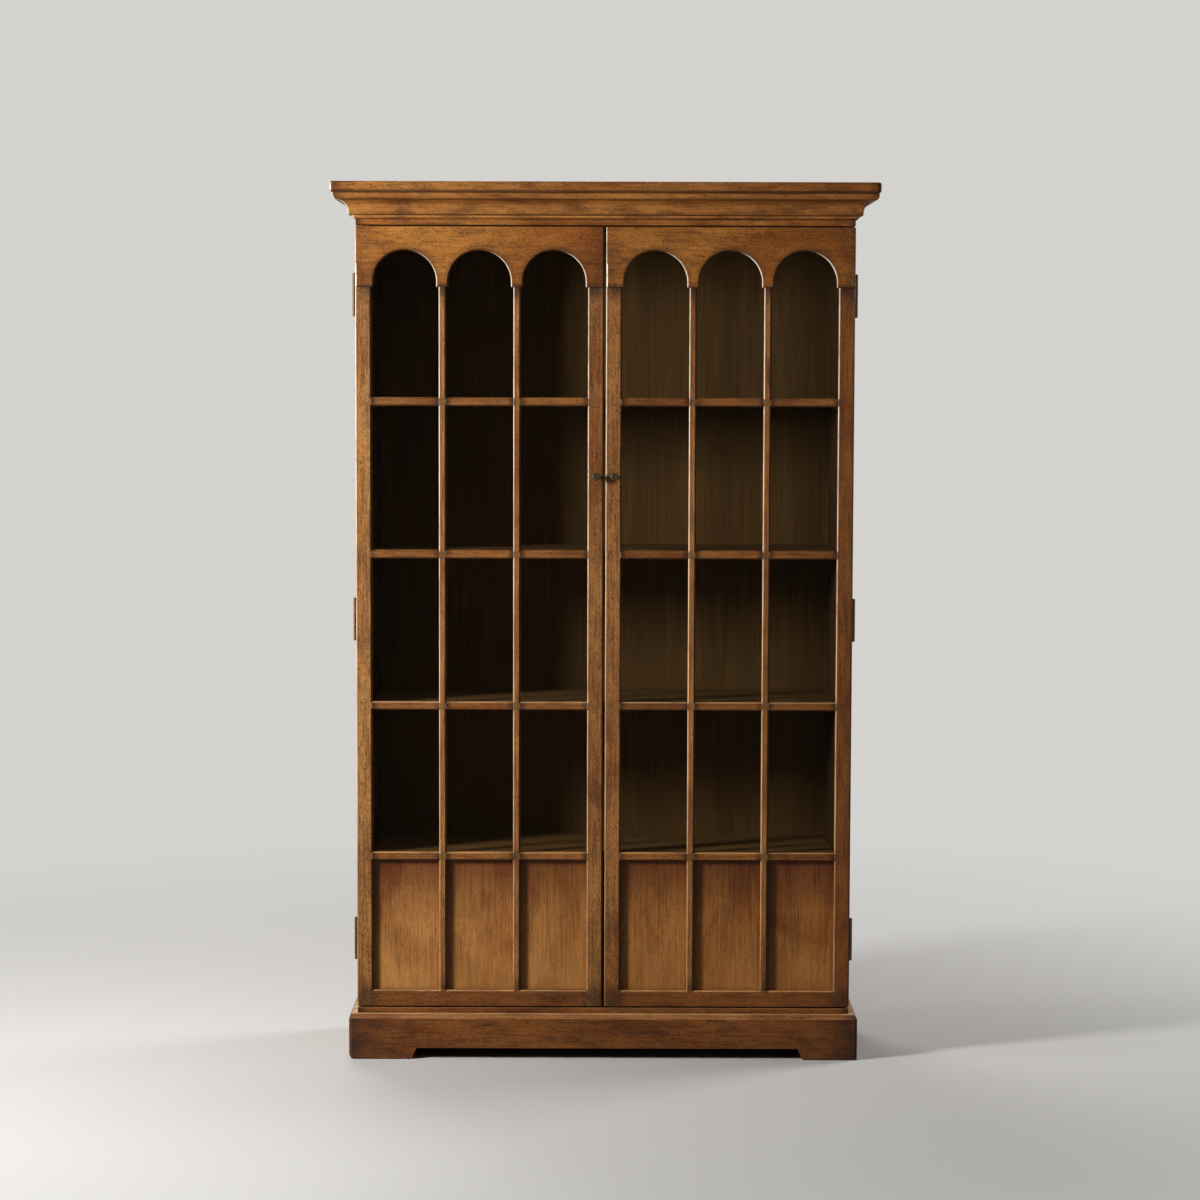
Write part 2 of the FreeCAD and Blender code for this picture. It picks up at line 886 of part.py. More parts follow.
def glazing_bead(start, run, outward):
    wide = rebate_width - glazing_bead_clearance
    near = glass_back - start.y
    far = door_back - start.y
    section = [
        (0, near),
        (wide, near),
        (wide, far),
        (glazing_bead_chamfer, far),
        (0, far - glazing_bead_chamfer),
    ]
    points = [start + outward * out + Vector(0, depth, 0) for out, depth in section]
    return prism(points, run)


def glazing_beads():
    beads = []
    wide = rebate_width - glazing_bead_clearance
    for x0, x1 in column_spans():
        for z0, z1 in pane_spans():
            across = Vector(x1 - x0 + 2 * wide, 0, 0)
            up = Vector(0, 0, z1 - z0)
            beads.append(glazing_bead(Vector(x0 - wide, door_face, z0), across, Vector(0, 0, -1)))
            beads.append(glazing_bead(Vector(x0 - wide, door_face, z1), across, Vector(0, 0, 1)))
            beads.append(glazing_bead(Vector(x0, door_face, z0), up, Vector(-1, 0, 0)))
            beads.append(glazing_bead(Vector(x1, door_face, z0), up, Vector(1, 0, 0)))
    return beads


# Knob, rosette and nut

def knob_centre():
    return Vector((door_inner_edge + meeting_stile_inner) / 2, door_face, door_top - knob_height_below_door_top)


def knob_hole():
    return Part.makeCylinder(knob_stud_radius + knob_stud_clearance, door_thickness + 2 * overrun,
                             knob_centre() - back_direction * overrun, back_direction)


def knob():
    head_back = rosette_thickness + knob_neck_length
    head_front = head_back + knob_head_depth
    end = -door_thickness - knob_nut_thickness - knob_stud_end
    outline = [
        (end, 0),
        (end, knob_stud_radius),
        (rosette_thickness, knob_stud_radius),
        (rosette_thickness, knob_neck_radius),
        (head_back, knob_neck_radius),
        (head_back + knob_rim, knob_radius - knob_rim),
        (head_back + 2 * knob_rim, knob_radius),
        (head_front - 2 * knob_rim, knob_radius),
        (head_front, knob_radius - knob_rim),
        (head_front, knob_dish_radius),
        (head_front - knob_dish_depth, knob_dish_radius - knob_dish_depth),
        (head_front - knob_dish_depth, knob_boss_radius),
        (head_front + knob_boss_height / 2, knob_boss_radius),
        (head_front + knob_boss_height, knob_boss_radius / 2),
        (head_front + knob_boss_height, 0),
    ]
    return turned(outline, knob_centre(), front_direction, up_direction)


def knob_rosette():
    bore = knob_stud_radius + knob_stud_clearance
    outline = [
        (0, bore),
        (0, rosette_radius),
        (rosette_thickness - rosette_round, rosette_radius),
        (rosette_thickness, rosette_radius - rosette_round),
        (rosette_thickness, bore),
    ]
    return turned(outline, knob_centre(), front_direction, up_direction)


def knob_nut():
    bore = knob_stud_radius + knob_stud_clearance
    far = -door_thickness - knob_nut_thickness
    outline = [
        (-door_thickness, bore),
        (-door_thickness, knob_nut_radius),
        (far + knob_nut_round, knob_nut_radius),
        (far, knob_nut_radius - knob_nut_round),
        (far, bore),
    ]
    return turned(outline, knob_centre(), front_direction, up_direction)


# Hinges, for the right side

def knuckle_span(level, index):
    pitch = hinge_length / knuckles
    low = level - hinge_length / 2 + index * pitch
    low_gap = knuckle_gap / 2 if index > 0 else 0
    high_gap = knuckle_gap / 2 if index < knuckles - 1 else 0
    return low + low_gap, low + pitch - high_gap


def hinge_leaf(level, behind, own):
    near = hinge_y + behind * leaf_gap / 2
    far = near + behind * leaf_thickness
    y0, y1 = min(near, far), max(near, far)
    plate = box(door_outer_edge - leaf_width, door_outer_edge, y0, y1,
                level - hinge_length / 2, level + hinge_length / 2)
    root_x = hinge_x - (pin_radius + knuckle_radius) / 2
    pieces = []
    bores = []
    for index in own:
        z0, z1 = knuckle_span(level, index)
        foot = Vector(hinge_x, hinge_y, z0)
        pieces.append(box(door_outer_edge, root_x, y0, y1, z0, z1))
        pieces.append(Part.makeCylinder(knuckle_radius, z1 - z0, foot))
        bore_foot = Vector(hinge_x, hinge_y, z0 - overrun)
        bores.append(Part.makeCylinder(pin_radius + pin_clearance, z1 - z0 + 2 * overrun, bore_foot))
    direction = back_direction if behind > 0 else front_direction
    places = [place for place in leaf_screw_places(near) if abs(place.z - level) < hinge_length / 2]
    leaf = fused(plate, *pieces)
    return leaf.cut(bores + holes(places, direction, hinge_screw_length))


def case_leaves():
    return [hinge_leaf(level, 1, range(0, knuckles, 2)) for level in hinge_levels]


def door_leaves():
    return [hinge_leaf(level, -1, range(1, knuckles, 2)) for level in hinge_levels]


def hinge_pins():
    button_radius = knuckle_radius - pin_button_setback
    pins = []
    for level in hinge_levels:
        low = Vector(hinge_x, hinge_y, level - hinge_length / 2)
        high = Vector(hinge_x, hinge_y, level + hinge_length / 2)
        shank = Part.makeCylinder(pin_radius, hinge_length, low)
        top = Part.makeCylinder(button_radius, pin_button_thickness, high)
        bottom = Part.makeCylinder(button_radius, pin_button_thickness, low, -up_direction)
        pins.append(fused(shank, top, bottom))
    return pins


# Catches

def door_catch():
    x = catch_centre_x()
    near = catch_face()
    far = near + catch_depth
    top = top_panel_bottom
    flange = box(x - catch_flange_length / 2, x + catch_flange_length / 2, near, far,
                 top - catch_flange_thickness, top)
    block = box(x - catch_length / 2, x + catch_length / 2, near, far, top - catch_height, top)
    return cut_by(fused(flange, block), holes(catch_screw_places(), up_direction, case_screw_length))


def strike_middle():
    return Vector(catch_centre_x(), door_back, top_panel_bottom - catch_height / 2)


def strike_spigot():
    return Part.makeCylinder(strike_spigot_radius, strike_spigot_length, strike_middle(), front_direction)


def strike_plate():
    middle = strike_middle()
    plate = box(middle.x - strike_length / 2, middle.x + strike_length / 2, door_back,
                door_back + strike_thickness, middle.z - strike_height / 2, middle.z + strike_height / 2)
    return fused(plate, strike_spigot())


# Writing

def write(name, shapes):
    solids = shapes if isinstance(shapes, list) else [shapes]
    shape = solids[0] if len(solids) == 1 else Part.makeCompound(solids)
    shape.exportStep("parts/" + name + ".step")
    print(name, len(shape.Solids), "solids", "valid" if shape.isValid() else "NOT VALID")


def write_pair(name, shapes):
    solids = shapes if isinstance(shapes, list) else [shapes]
    write("right_" + name, solids)
    write("left_" + name, [mirrored(solid) for solid in solids])


def write_case():
    write("plinth_top_board", plinth_top_board())
    write("plinth_front", plinth_front())
    write("plinth_right", plinth_right())
    write("plinth_left", plinth_left())
    write("plinth_back", plinth_back())
    write("plinth_corner_blocks", plinth_corner_blocks())
    write("side_panel_right", side_panel_right())
    write("side_panel_left", mirrored(side_panel_right()))
    write("bottom_panel", bottom_panel())
    write("top_panel", top_panel())
    write("back_panel", back_panel())
    for number, bar_top in enumerate(reversed(crossbar_tops()), 1):
        write("shelf_" + str(number), shelf(bar_top))
    write("shelf_pegs", shelf_pegs())
    write("frieze_rail", frieze_rail())
    write("base_rail", base_rail())
    write("cornice_front", cornice_front())
    write("cornice_right", cornice_right())
    write("cornice_left", mirrored(cornice_right()))
    write("cornice_top_board", cornice_top_board())


def write_case_fittings():
    case_screws = screws(back_screw_places(), front_direction, case_screw_length)
    case_screws += screws(plinth_screw_places(), up_direction, case_screw_length)
    case_screws += both_sides(screws(catch_screw_places(), up_direction, case_screw_length))
    write("case_screws", case_screws)
    write("door_catches", both_sides([door_catch()]))
    write("case_hinge_leaves", both_sides(case_leaves()))
    write("hinge_pins", both_sides(hinge_pins()))
    leaf_places = leaf_screw_places(hinge_y + leaf_gap / 2)
    write("case_hinge_screws", both_sides(screws(leaf_places, back_direction, hinge_screw_length)))


def write_doors():
    inner_muntin, outer_muntin = muntin_spans()
    meeting, hinged = stile_spans()
    write_pair("hinge_stile", stile(*hinged))
    write_pair("meeting_stile", stile(*meeting))
    write_pair("arcade_board", arcade_board())
    write_pair("bottom_rail", bottom_rail())
    write_pair("inner_muntin", muntin(*inner_muntin))
    write_pair("outer_muntin", muntin(*outer_muntin))
    write_pair("crossbars", crossbars())
    write_pair("lower_panels", lower_panels())
    write_pair("glass_panes", glass_panes())
    write_pair("glazing_beads", glazing_beads())
    write_pair("knob", knob())
    write_pair("knob_rosette", knob_rosette())
    write_pair("knob_nut", knob_nut())
    write_pair("door_hinge_leaves", door_leaves())
    leaf_places = leaf_screw_places(hinge_y - leaf_gap / 2)
    write_pair("door_hinge_screws", screws(leaf_places, front_direction, hinge_screw_length))
    write_pair("strike_plate", strike_plate())


os.makedirs("parts", exist_ok=True)
write_case()
write_case_fittings()
write_doors()
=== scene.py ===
import json
import math
import random

import bmesh
import bpy
from mathutils import Matrix, Vector

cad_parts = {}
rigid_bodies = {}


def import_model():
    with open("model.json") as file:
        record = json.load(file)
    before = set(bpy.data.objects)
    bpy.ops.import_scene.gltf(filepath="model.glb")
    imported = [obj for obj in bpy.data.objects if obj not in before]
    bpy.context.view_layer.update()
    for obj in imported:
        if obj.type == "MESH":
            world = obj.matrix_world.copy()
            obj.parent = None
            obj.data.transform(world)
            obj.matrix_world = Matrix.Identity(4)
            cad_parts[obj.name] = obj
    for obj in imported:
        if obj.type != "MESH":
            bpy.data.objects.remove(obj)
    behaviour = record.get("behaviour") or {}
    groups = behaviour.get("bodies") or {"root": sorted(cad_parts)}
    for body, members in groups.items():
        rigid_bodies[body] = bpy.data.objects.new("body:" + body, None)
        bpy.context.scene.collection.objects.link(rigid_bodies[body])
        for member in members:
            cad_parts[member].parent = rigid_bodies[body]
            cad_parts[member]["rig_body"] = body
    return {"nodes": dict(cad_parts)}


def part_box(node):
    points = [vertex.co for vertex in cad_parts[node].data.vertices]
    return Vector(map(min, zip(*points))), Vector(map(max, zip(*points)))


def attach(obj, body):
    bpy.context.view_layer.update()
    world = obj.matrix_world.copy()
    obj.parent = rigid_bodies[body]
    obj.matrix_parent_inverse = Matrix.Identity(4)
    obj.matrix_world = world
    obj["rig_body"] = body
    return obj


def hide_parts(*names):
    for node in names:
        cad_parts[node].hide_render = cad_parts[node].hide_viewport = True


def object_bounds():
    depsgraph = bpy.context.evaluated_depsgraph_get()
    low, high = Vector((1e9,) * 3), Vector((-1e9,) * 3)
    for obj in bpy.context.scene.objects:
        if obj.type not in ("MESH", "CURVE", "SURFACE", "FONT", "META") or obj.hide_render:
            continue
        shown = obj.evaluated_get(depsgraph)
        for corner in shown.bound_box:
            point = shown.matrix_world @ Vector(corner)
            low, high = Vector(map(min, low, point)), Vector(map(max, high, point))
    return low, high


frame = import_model()
cadLow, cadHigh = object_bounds()  # the outer box of the solids
nodes = frame["nodes"]
print("frame loaded:", len(nodes), "nodes")

# Camera, lamps, floor

cameraLook = {
    "place": (-0.0106, -7.4016, 1.6848),  # metres, eye height well above the middle
    "pitchDown": 4.381,  # degrees, as is the roll
    "roll": 0.17,
    "lens": 89.9,  # millimetres, as is the sensor
    "sensor": 36.0,
    "sight": 60.0,  # metres
}

# angle: degrees off the front, towards the left; rise: degrees above the cabinet's middle; sizes in metres
# level 1 lights a surface that faces the lamp just enough to render its own colour
lampLook = {
    "keyLamp": {"angle": 64.0, "rise": 17.0, "distance": 3.5, "size": (0.55, 0.8), "level": 1.50},
    "stripLamp": {"angle": 84.0, "rise": 4.0, "distance": 6.5, "size": (0.8, 3.6), "level": 0.30},
    "fillLamp": {"angle": -12.0, "rise": 38.0, "distance": 6.0, "size": (3.0, 2.0), "level": 0.04},
    "rightLamp": {"angle": -118.0, "rise": 22.0, "distance": 5.0, "size": (2.0, 2.4), "level": 0.70},
    "backLamp": {"angle": 160.0, "rise": 28.0, "distance": 5.0, "size": (2.4, 2.0), "level": 0.50},
}
ambientLevel = 0.045

floorLook = {
    "radius": 14.0,
    "sides": 96,
    "drop": 0.0002,  # metres under the cabinet's foot
    "pale": (0.66, 0.645, 0.62, 1.0),
    "near": (0.5148, 0.5031, 0.4836, 1.0),  # the lit floor near the cabinet, and its darker grit
    "grit": (0.478764, 0.467883, 0.449748, 1.0),
    "gritScale": 90.0,
    "fade": (1.0, 3.6),  # metres from the middle between which the lit floor gives way to the plain tone
    "dim": (0.22, 0.21, 0.20, 1.0),  # what the object is lit by from below
}


def addObject(name, data):
    added = bpy.data.objects.new(name, data)
    bpy.context.scene.collection.objects.link(added)
    return added


def makeCamera():
    look = cameraLook
    data = bpy.data.cameras.new("photoCamera")
    data.sensor_width = look["sensor"]
    data.lens = look["lens"]
    data.clip_end = look["sight"]
    camera = addObject("photoCamera", data)
    tilt = Matrix.Rotation(math.radians(90.0 - look["pitchDown"]), 4, "X")
    roll = Matrix.Rotation(math.radians(look["roll"]), 4, "Z")
    camera.matrix_world = Matrix.Translation(look["place"]) @ tilt @ roll
    bpy.context.scene.camera = camera


def makeLamp(name, look):
    aim = Vector((0.0, cadLow.y, (cadLow.z + cadHigh.z) / 2))
    turn, lift = math.radians(look["angle"]), math.radians(look["rise"])
    away = Vector((-math.sin(turn) * math.cos(lift), -math.cos(turn) * math.cos(lift), math.sin(lift)))
    data = bpy.data.lights.new(name, "AREA")
    data.shape = "RECTANGLE"
    data.size, data.size_y = look["size"]
    data.energy = look["level"] * (math.pi * look["distance"]) ** 2
    lamp = addObject(name, data)
    lamp.location = aim + away * look["distance"]
    lamp.rotation_mode = "QUATERNION"
    lamp.rotation_quaternion = away.to_track_quat("Z", "Y")
    lamp.visible_camera = False
    lamp.visible_transmission = False


# Small helpers for the node trees

def addNode(tree, kind, inputs=None, **settings):
    node = tree.nodes.new(kind)
    for key, value in settings.items():
        setattr(node, key, value)
    for key, value in (inputs or {}).items():
        if isinstance(value, bpy.types.NodeSocket):
            tree.links.new(value, node.inputs[key])
        else:
            node.inputs[key].default_value = value
    return node


def calc(tree, operation, first, second=0.0):
    return addNode(tree, "ShaderNodeMath", {0: first, 1: second}, operation=operation).outputs[0]


def times(tree, first, second):
    return calc(tree, "MULTIPLY", first, second)


def less(tree, first, second):
    return calc(tree, "SUBTRACT", first, second)


def largest(tree, *values):
    result = values[0]
    for value in values[1:]:
        result = calc(tree, "MAXIMUM", result, value)
    return result


def vectorCalc(tree, operation, first, second=(0.0, 0.0, 0.0)):
    return addNode(tree, "ShaderNodeVectorMath", {0: first, 1: second}, operation=operation).outputs[0]


def partsOf(tree, vector):
    return addNode(tree, "ShaderNodeSeparateXYZ", {0: vector}).outputs


def joined(tree, parts):
    return addNode(tree, "ShaderNodeCombineXYZ", parts).outputs[0]


def placeAt(tree):
    return addNode(tree, "ShaderNodeTexCoord").outputs["Object"]


def attributeAt(tree, name, output="Vector"):
    return addNode(tree, "ShaderNodeAttribute", attribute_name=name).outputs[output]


def alongGrain(tree, vector, grain):
    # the same vector, with its part along the grain put last
    parts = partsOf(tree, vector)
    order = {"X": (1, 2, 0), "Y": (0, 2, 1), "Z": (0, 1, 2)}[grain]
    return joined(tree, {index: parts[part] for index, part in enumerate(order)})


def noiseAt(tree, vector, scale, detail=2.0, roughness=0.5, distortion=0.0):
    inputs = {"Vector": vector, "Scale": scale, "Detail": detail, "Roughness": roughness, "Distortion": distortion}
    return addNode(tree, "ShaderNodeTexNoise", inputs).outputs[0]


def noiseLayer(tree, figure, layer):
    # layer: features to the metre, the share of that along the grain, detail, roughness, distortion
    scale, share, *texture = layer
    return noiseAt(tree, vectorCalc(tree, "MULTIPLY", figure, (1.0, 1.0, share)), scale, *texture)


def band(tree, value, low, high, start=0.0, end=1.0):
    inputs = {"Value": value, "From Min": low, "From Max": high, "To Min": start, "To Max": end}
    return addNode(tree, "ShaderNodeMapRange", inputs, interpolation_type="SMOOTHSTEP").outputs[0]


def fading(tree, value, near, far, strength=1.0):
    return band(tree, value, near, far, strength, 0.0)


def nearLevel(tree, value, level, width):
    return fading(tree, calc(tree, "ABSOLUTE", less(tree, value, level)), width * 0.5, width)


def mixColour(tree, factor, first, second, blend="MIX"):
    inputs = {"Factor": factor, 6: first, 7: second}  # 6 and 7 are the node's colour inputs
    return addNode(tree, "ShaderNodeMix", inputs, data_type="RGBA", blend_type=blend).outputs[2]


def mixShader(tree, share, first, second):
    return addNode(tree, "ShaderNodeMixShader", {0: share, 1: first, 2: second}).outputs[0]


def colour(red, green, blue):
    # 0 to 255 as seen on a screen, to the linear values that a shader takes
    return tuple(((part / 255 + 0.055) / 1.055) ** 2.4 if part > 10 else part / 3295 for part in
                 (red, green, blue)) + (1.0,)


def newMaterial(name):
    material = bpy.data.materials.new(name)
    material.use_nodes = True
    material.node_tree.nodes.clear()
    return material, material.node_tree


def surface(tree, tone, roughness, relief, look):
    depth, strength = look["bump"]
    raised = addNode(tree, "ShaderNodeBump", {"Height": relief, "Distance": depth, "Strength": strength})
    return addNode(tree, "ShaderNodeBsdfPrincipled", {
        "Base Color": tone, "Roughness": roughness, "Normal": raised.outputs[0], **look["sheen"]}).outputs[0]


def finished(material, shader):
    addNode(material.node_tree, "ShaderNodeOutputMaterial", {"Surface": shader})
    return material


def seenDirectly(tree):
    rays = addNode(tree, "ShaderNodeLightPath").outputs
    return largest(tree, rays["Is Camera Ray"], rays["Is Glossy Ray"], rays["Is Transmission Ray"])


def makeWorld():
    world = bpy.data.worlds.new("studio")
    world.use_nodes = True
    tree = world.node_tree
    tree.nodes.clear()
    soft = addNode(tree, "ShaderNodeBackground", {"Color": (1, 1, 1, 1), "Strength": ambientLevel})
    shown = addNode(tree, "ShaderNodeBackground", {"Color": floorLook["pale"], "Strength": 1.0})
    mixed = mixShader(tree, seenDirectly(tree), soft.outputs[0], shown.outputs[0])
    addNode(tree, "ShaderNodeOutputWorld", {"Surface": mixed})
    bpy.context.scene.world = world


def makeFloor():
    look = floorLook
    mesh = bpy.data.meshes.new("studioFloor")
    shape = bmesh.new()
    bmesh.ops.create_circle(shape, cap_ends=True, segments=look["sides"], radius=look["radius"])
    bmesh.ops.translate(shape, verts=shape.verts[:], vec=(0, 0, -look["drop"]))
    shape.to_mesh(mesh)
    shape.free()
    floor = addObject("studioFloor", mesh)
    material, tree = newMaterial("paleFloor")
    place = placeAt(tree)
    away = addNode(tree, "ShaderNodeVectorMath", {0: place}, operation="LENGTH").outputs["Value"]
    tone = mixColour(tree, noiseAt(tree, place, look["gritScale"], 4.0), look["near"], look["grit"])
    seen = seenDirectly(tree)
    matt = addNode(tree, "ShaderNodeBsdfDiffuse", {"Color": mixColour(tree, seen, look["dim"], tone)})
    glow = addNode(tree, "ShaderNodeEmission", {"Color": look["pale"], "Strength": 1.0})
    share = times(tree, band(tree, away, *look["fade"]), seen)
    mesh.materials.append(finished(material, mixShader(tree, share, matt.outputs[0], glow.outputs[0])))


# Wood, by the axis that its grain runs along

woodLook = {
    "light": colour(178, 125, 69),
    "middle": colour(148, 99, 52),
    "deep": colour(108, 67, 33),
    # the colour of the dark glaze and of all the painted shade
    "darkGlaze": colour(44, 26, 13),
    "highlightCream": colour(222, 206, 180),
    "highlightCreamLow": colour(198, 156, 104),  # the painted highlight lines turn honey towards the floor
    "highlightCreamRise": (0.6, 1.7),  # metres above the floor
    "highlightGold": colour(206, 146, 84),
    "shade": (0.62, 0.47, 0.34, 1.0),  # what the darker boards are toned with, in stain and in painted shade
    "headShade": (0.40, 0.29, 0.25, 1.0),  # and the heads of the lower panels: patina and painted shade under the crossbar
    "cloudNoise": (7.0, 0.4, 3.0, 0.55, 0.5),
    "streakNoise": (190.0, 0.05, 4.0, 0.65, 0.4),
    "dashNoise": (420.0, 0.14, 2.0, 0.6, 0.0),
    "mottleNoise": (34.0, 0.35, 5.0, 0.68, 0.3),
    "stainNoise": (6.5, 0.6, 4.0, 0.6, 0.6),
    "speckNoise": (330.0, 0.6, 3.0, 0.75, 0.0),
    "figure": [  # noise, the values between which it gains its strength, that strength, the tone it brings
        ("streak", 0.48, 0.64, 0.62, "deep"),
        ("streak", 0.50, 0.34, 0.60, "light"),
        ("dash", 0.54, 0.66, 0.50, "deep"),
        ("speck", 0.53, 0.66, 0.60, "deep"),
        ("speck", 0.46, 0.34, 0.45, "light"),
    ],
    "contrast": 1.0,  # of the streaks and dashes
    "speck": 1.0,
    "stain": 0.85,
    "glaze": 0.26,  # strength of the scattered patches
    "ends": (0.03, 1.0),  # how far the glaze reaches from a board's ends, and its strength there
    "inset": 0.0,  # how much of a board's end is hidden in its joint
    "footGlaze": 0.80,  # the glaze at a door's foot, as a share of that at its top
    "footRise": (0.3, 0.6),
    "joints": None,  # levels of the crossbars, where glaze gathers too
    "arches": None,
    "panel": None,
    "rightEnd": None,  # how far from its right end a board darkens, and how much: painted shade of the light's falloff on the cornice and crown, a stain on the arch boards
    "mitre": None,
    "darkJointAndShadeLevels": [],  # level lines of dark joints and painted shade, and of painted highlights: height, width, strength
    "paleHighlightLevels": [],
    "goldHighlightLevels": [],
    "arrises": 1.0,  # strength of the painted highlights and the painted shade on the arrises
    "topArris": 0.0,  # of the painted highlights on those that turn up
    "topReach": (0.002, 0.003),
    "topFade": None,  # metres above the floor between which they fade out
    "uprightOnly": False,  # painted highlight lines on upright arrises alone
    "paleFrom": (0.10, 0.38),  # how far an arris turns to the left before it gets a painted highlight
    "lineWidth": 0.0016,
    "lineFade": (0.44, 0.60),  # metres above the floor between which the painted highlight lines gain their strength
    "turnedDark": 0.72,  # painted shade on arrises that turn right or down
    "sideDark": (0.0044, 0.0070, 0.42),  # painted shade beside a painted highlight line: its reach and strength
    "roughness": (0.44, 0.66),
    "bump": (0.00035, 0.8),
    "sheen": {"Specular IOR Level": 0.20, "Coat Weight": 0.02, "Coat Roughness": 0.40},
}


def boardGuide(tree, grain, arches):
    # where a point lies on its own board, and which way it faces
    coordinates = addNode(tree, "ShaderNodeTexCoord").outputs
    place = coordinates["Object"]
    x, y, height = partsOf(tree, place)
    local = vectorCalc(tree, "SUBTRACT", place, attributeAt(tree, "boardMiddle"))
    inside = vectorCalc(tree, "SUBTRACT", attributeAt(tree, "boardHalf"), vectorCalc(tree, "ABSOLUTE", local))
    inside = partsOf(tree, inside)
    normalX, _, normalZ = partsOf(tree, coordinates["Normal"])
    at = {"place": place, "x": x, "y": y, "height": height, "normalX": normalX, "normalZ": normalZ,
          "fromSide": inside[0], "fromTop": inside[2], "fromEnd": inside["XYZ".index(grain)],
          "atLeft": calc(tree, "LESS_THAN", partsOf(tree, local)[0], 0.0), "lineEdge": inside[0]}
    if arches:
        across = calc(tree, "PINGPONG", less(tree, x, arches["first"]), arches["pitch"] / 2)
        rise = largest(tree, less(tree, height, arches["spring"]), 0.0)
        squares = calc(tree, "ADD", times(tree, across, across), times(tree, rise, rise))
        at["fromArch"] = less(tree, calc(tree, "SQRT", squares), arches["radius"])
        at["lineEdge"] = calc(tree, "MINIMUM", inside[0], at["fromArch"])
    return at


def woodTone(tree, look, noise, at):
    height = at["height"]
    tone = mixColour(tree, band(tree, noise["cloud"], 0.38, 0.62), look["middle"], look["light"])
    for name, low, high, strength, shown in look["figure"]:
        strength *= look["speck" if name == "speck" else "contrast"]
        tone = mixColour(tree, band(tree, noise[name], low, high, 0.0, strength), tone, look[shown])
    stained = band(tree, noise["stain"], 0.46, 0.66, 0.0, look["stain"])
    tone = mixColour(tree, stained, tone, look["shade"], "MULTIPLY")
    panel = look["panel"]
    if panel:
        rise = less(tree, height, panel["foot"])
        tone = mixColour(tree, band(tree, rise, panel["goldenTo"], 0.0, 0.0, panel["golden"]), tone, look["light"])
        # the panel's head darkens: partly patina, partly painted shade under the crossbar above
        shadedHead = band(tree, rise, panel["shadeFrom"], panel["head"] - panel["foot"])
        tone = mixColour(tree, shadedHead, tone, look["headShade"], "MULTIPLY")
    # each board's tone, which towards the right is partly painted shade
    tone = mixColour(tree, attributeAt(tree, "boardToneAndShade", "Fac"), tone, look["shade"], "MULTIPLY")
    if look["rightEnd"]:
        # darker towards the right end: a stain on the arch boards, painted shade of the light falling off on the
        # cornice and crown
        reach, strength = look["rightEnd"]
        rightEndStainAndShade = times(tree, band(tree, at["fromSide"], reach, 0.0, 0.0, strength), less(tree, 1.0, at["atLeft"]))
        tone = mixColour(tree, rightEndStainAndShade, tone, look["shade"], "MULTIPLY")
    return tone


def darkGlaze(tree, look, noise, at, grain):
    # thick at the ends and joints, in scattered patches elsewhere; on the lower panels also painted shadow at the
    # recess's left side and painted shade under the crossbar
    height, mottle = at["height"], noise["mottle"]
    reach, strength = look["ends"]
    near = fading(tree, at["fromEnd"], look["inset"], look["inset"] + reach, strength)
    if grain == "Z":
        near = times(tree, near, band(tree, height, *look["footRise"], look["footGlaze"], 1.0))
    joints, arches, panel = look["joints"], look["arches"], look["panel"]
    if joints:
        away = calc(tree, "PINGPONG", less(tree, height, joints["first"]), joints["pitch"] / 2)
        near = largest(tree, near, fading(tree, away, *joints["glaze"]))
    if arches:
        near = largest(tree, near, fading(tree, at["fromArch"], *arches["glaze"]),
                       fading(tree, less(tree, height, arches["foot"]), *arches["footGlaze"]))
    patches = band(tree, mottle, 0.47, 0.66, 0.0, look["glaze"])
    dark = largest(tree, patches, times(tree, near, band(tree, mottle, 0.30, 0.56, 0.45, 0.94)))
    if panel:
        # painted shadow of the muntin on the recess's left side, glaze and painted shade under the crossbar, glaze
        # along both sides
        dark = largest(tree, dark, times(tree, at["atLeft"], fading(tree, at["fromSide"], *panel["leftGlaze"])),
                       fading(tree, less(tree, panel["head"], height), *panel["headGlaze"]),
                       fading(tree, at["fromSide"], *panel["sideGlaze"]))
    dotted = times(tree, band(tree, noise["speck"], 0.56, 0.66), calc(tree, "ADD", dark, 0.16))
    return calc(tree, "ADD", dark, dotted)


def turnedTo(tree, part, low, high):
    # 1 on an arris that turns this way, 0 on the flat faces either side of it
    return times(tree, band(tree, part, low, high), fading(tree, part, 0.965, 0.995))


def paintedHighlightArrises(tree, look, at, highlightBreakup):
    # painted highlights: pale lines on the arrises that turn left, and on those that turn up where the board asks
    # for it, as if lit from the upper left
    width = look["lineWidth"]
    left = times(tree, turnedTo(tree, times(tree, at["normalX"], -1.0), *look["paleFrom"]),
                 fading(tree, at["lineEdge"], width * 0.8, width * 1.2))
    if look["uprightOnly"]:
        left = times(tree, left, fading(tree, calc(tree, "ABSOLUTE", at["normalZ"]), 0.2, 0.5))
    left = times(tree, left, times(tree, highlightBreakup, band(tree, at["height"], *look["lineFade"], 0.35, 1.0)))
    up = times(tree, turnedTo(tree, at["normalZ"], 0.2, 0.5), look["topArris"])
    up = times(tree, up, fading(tree, at["fromTop"], *look["topReach"]))
    if look["topFade"]:
        up = times(tree, up, fading(tree, at["height"], *look["topFade"]))
    return times(tree, largest(tree, left, times(tree, up, highlightBreakup)), look["arrises"])


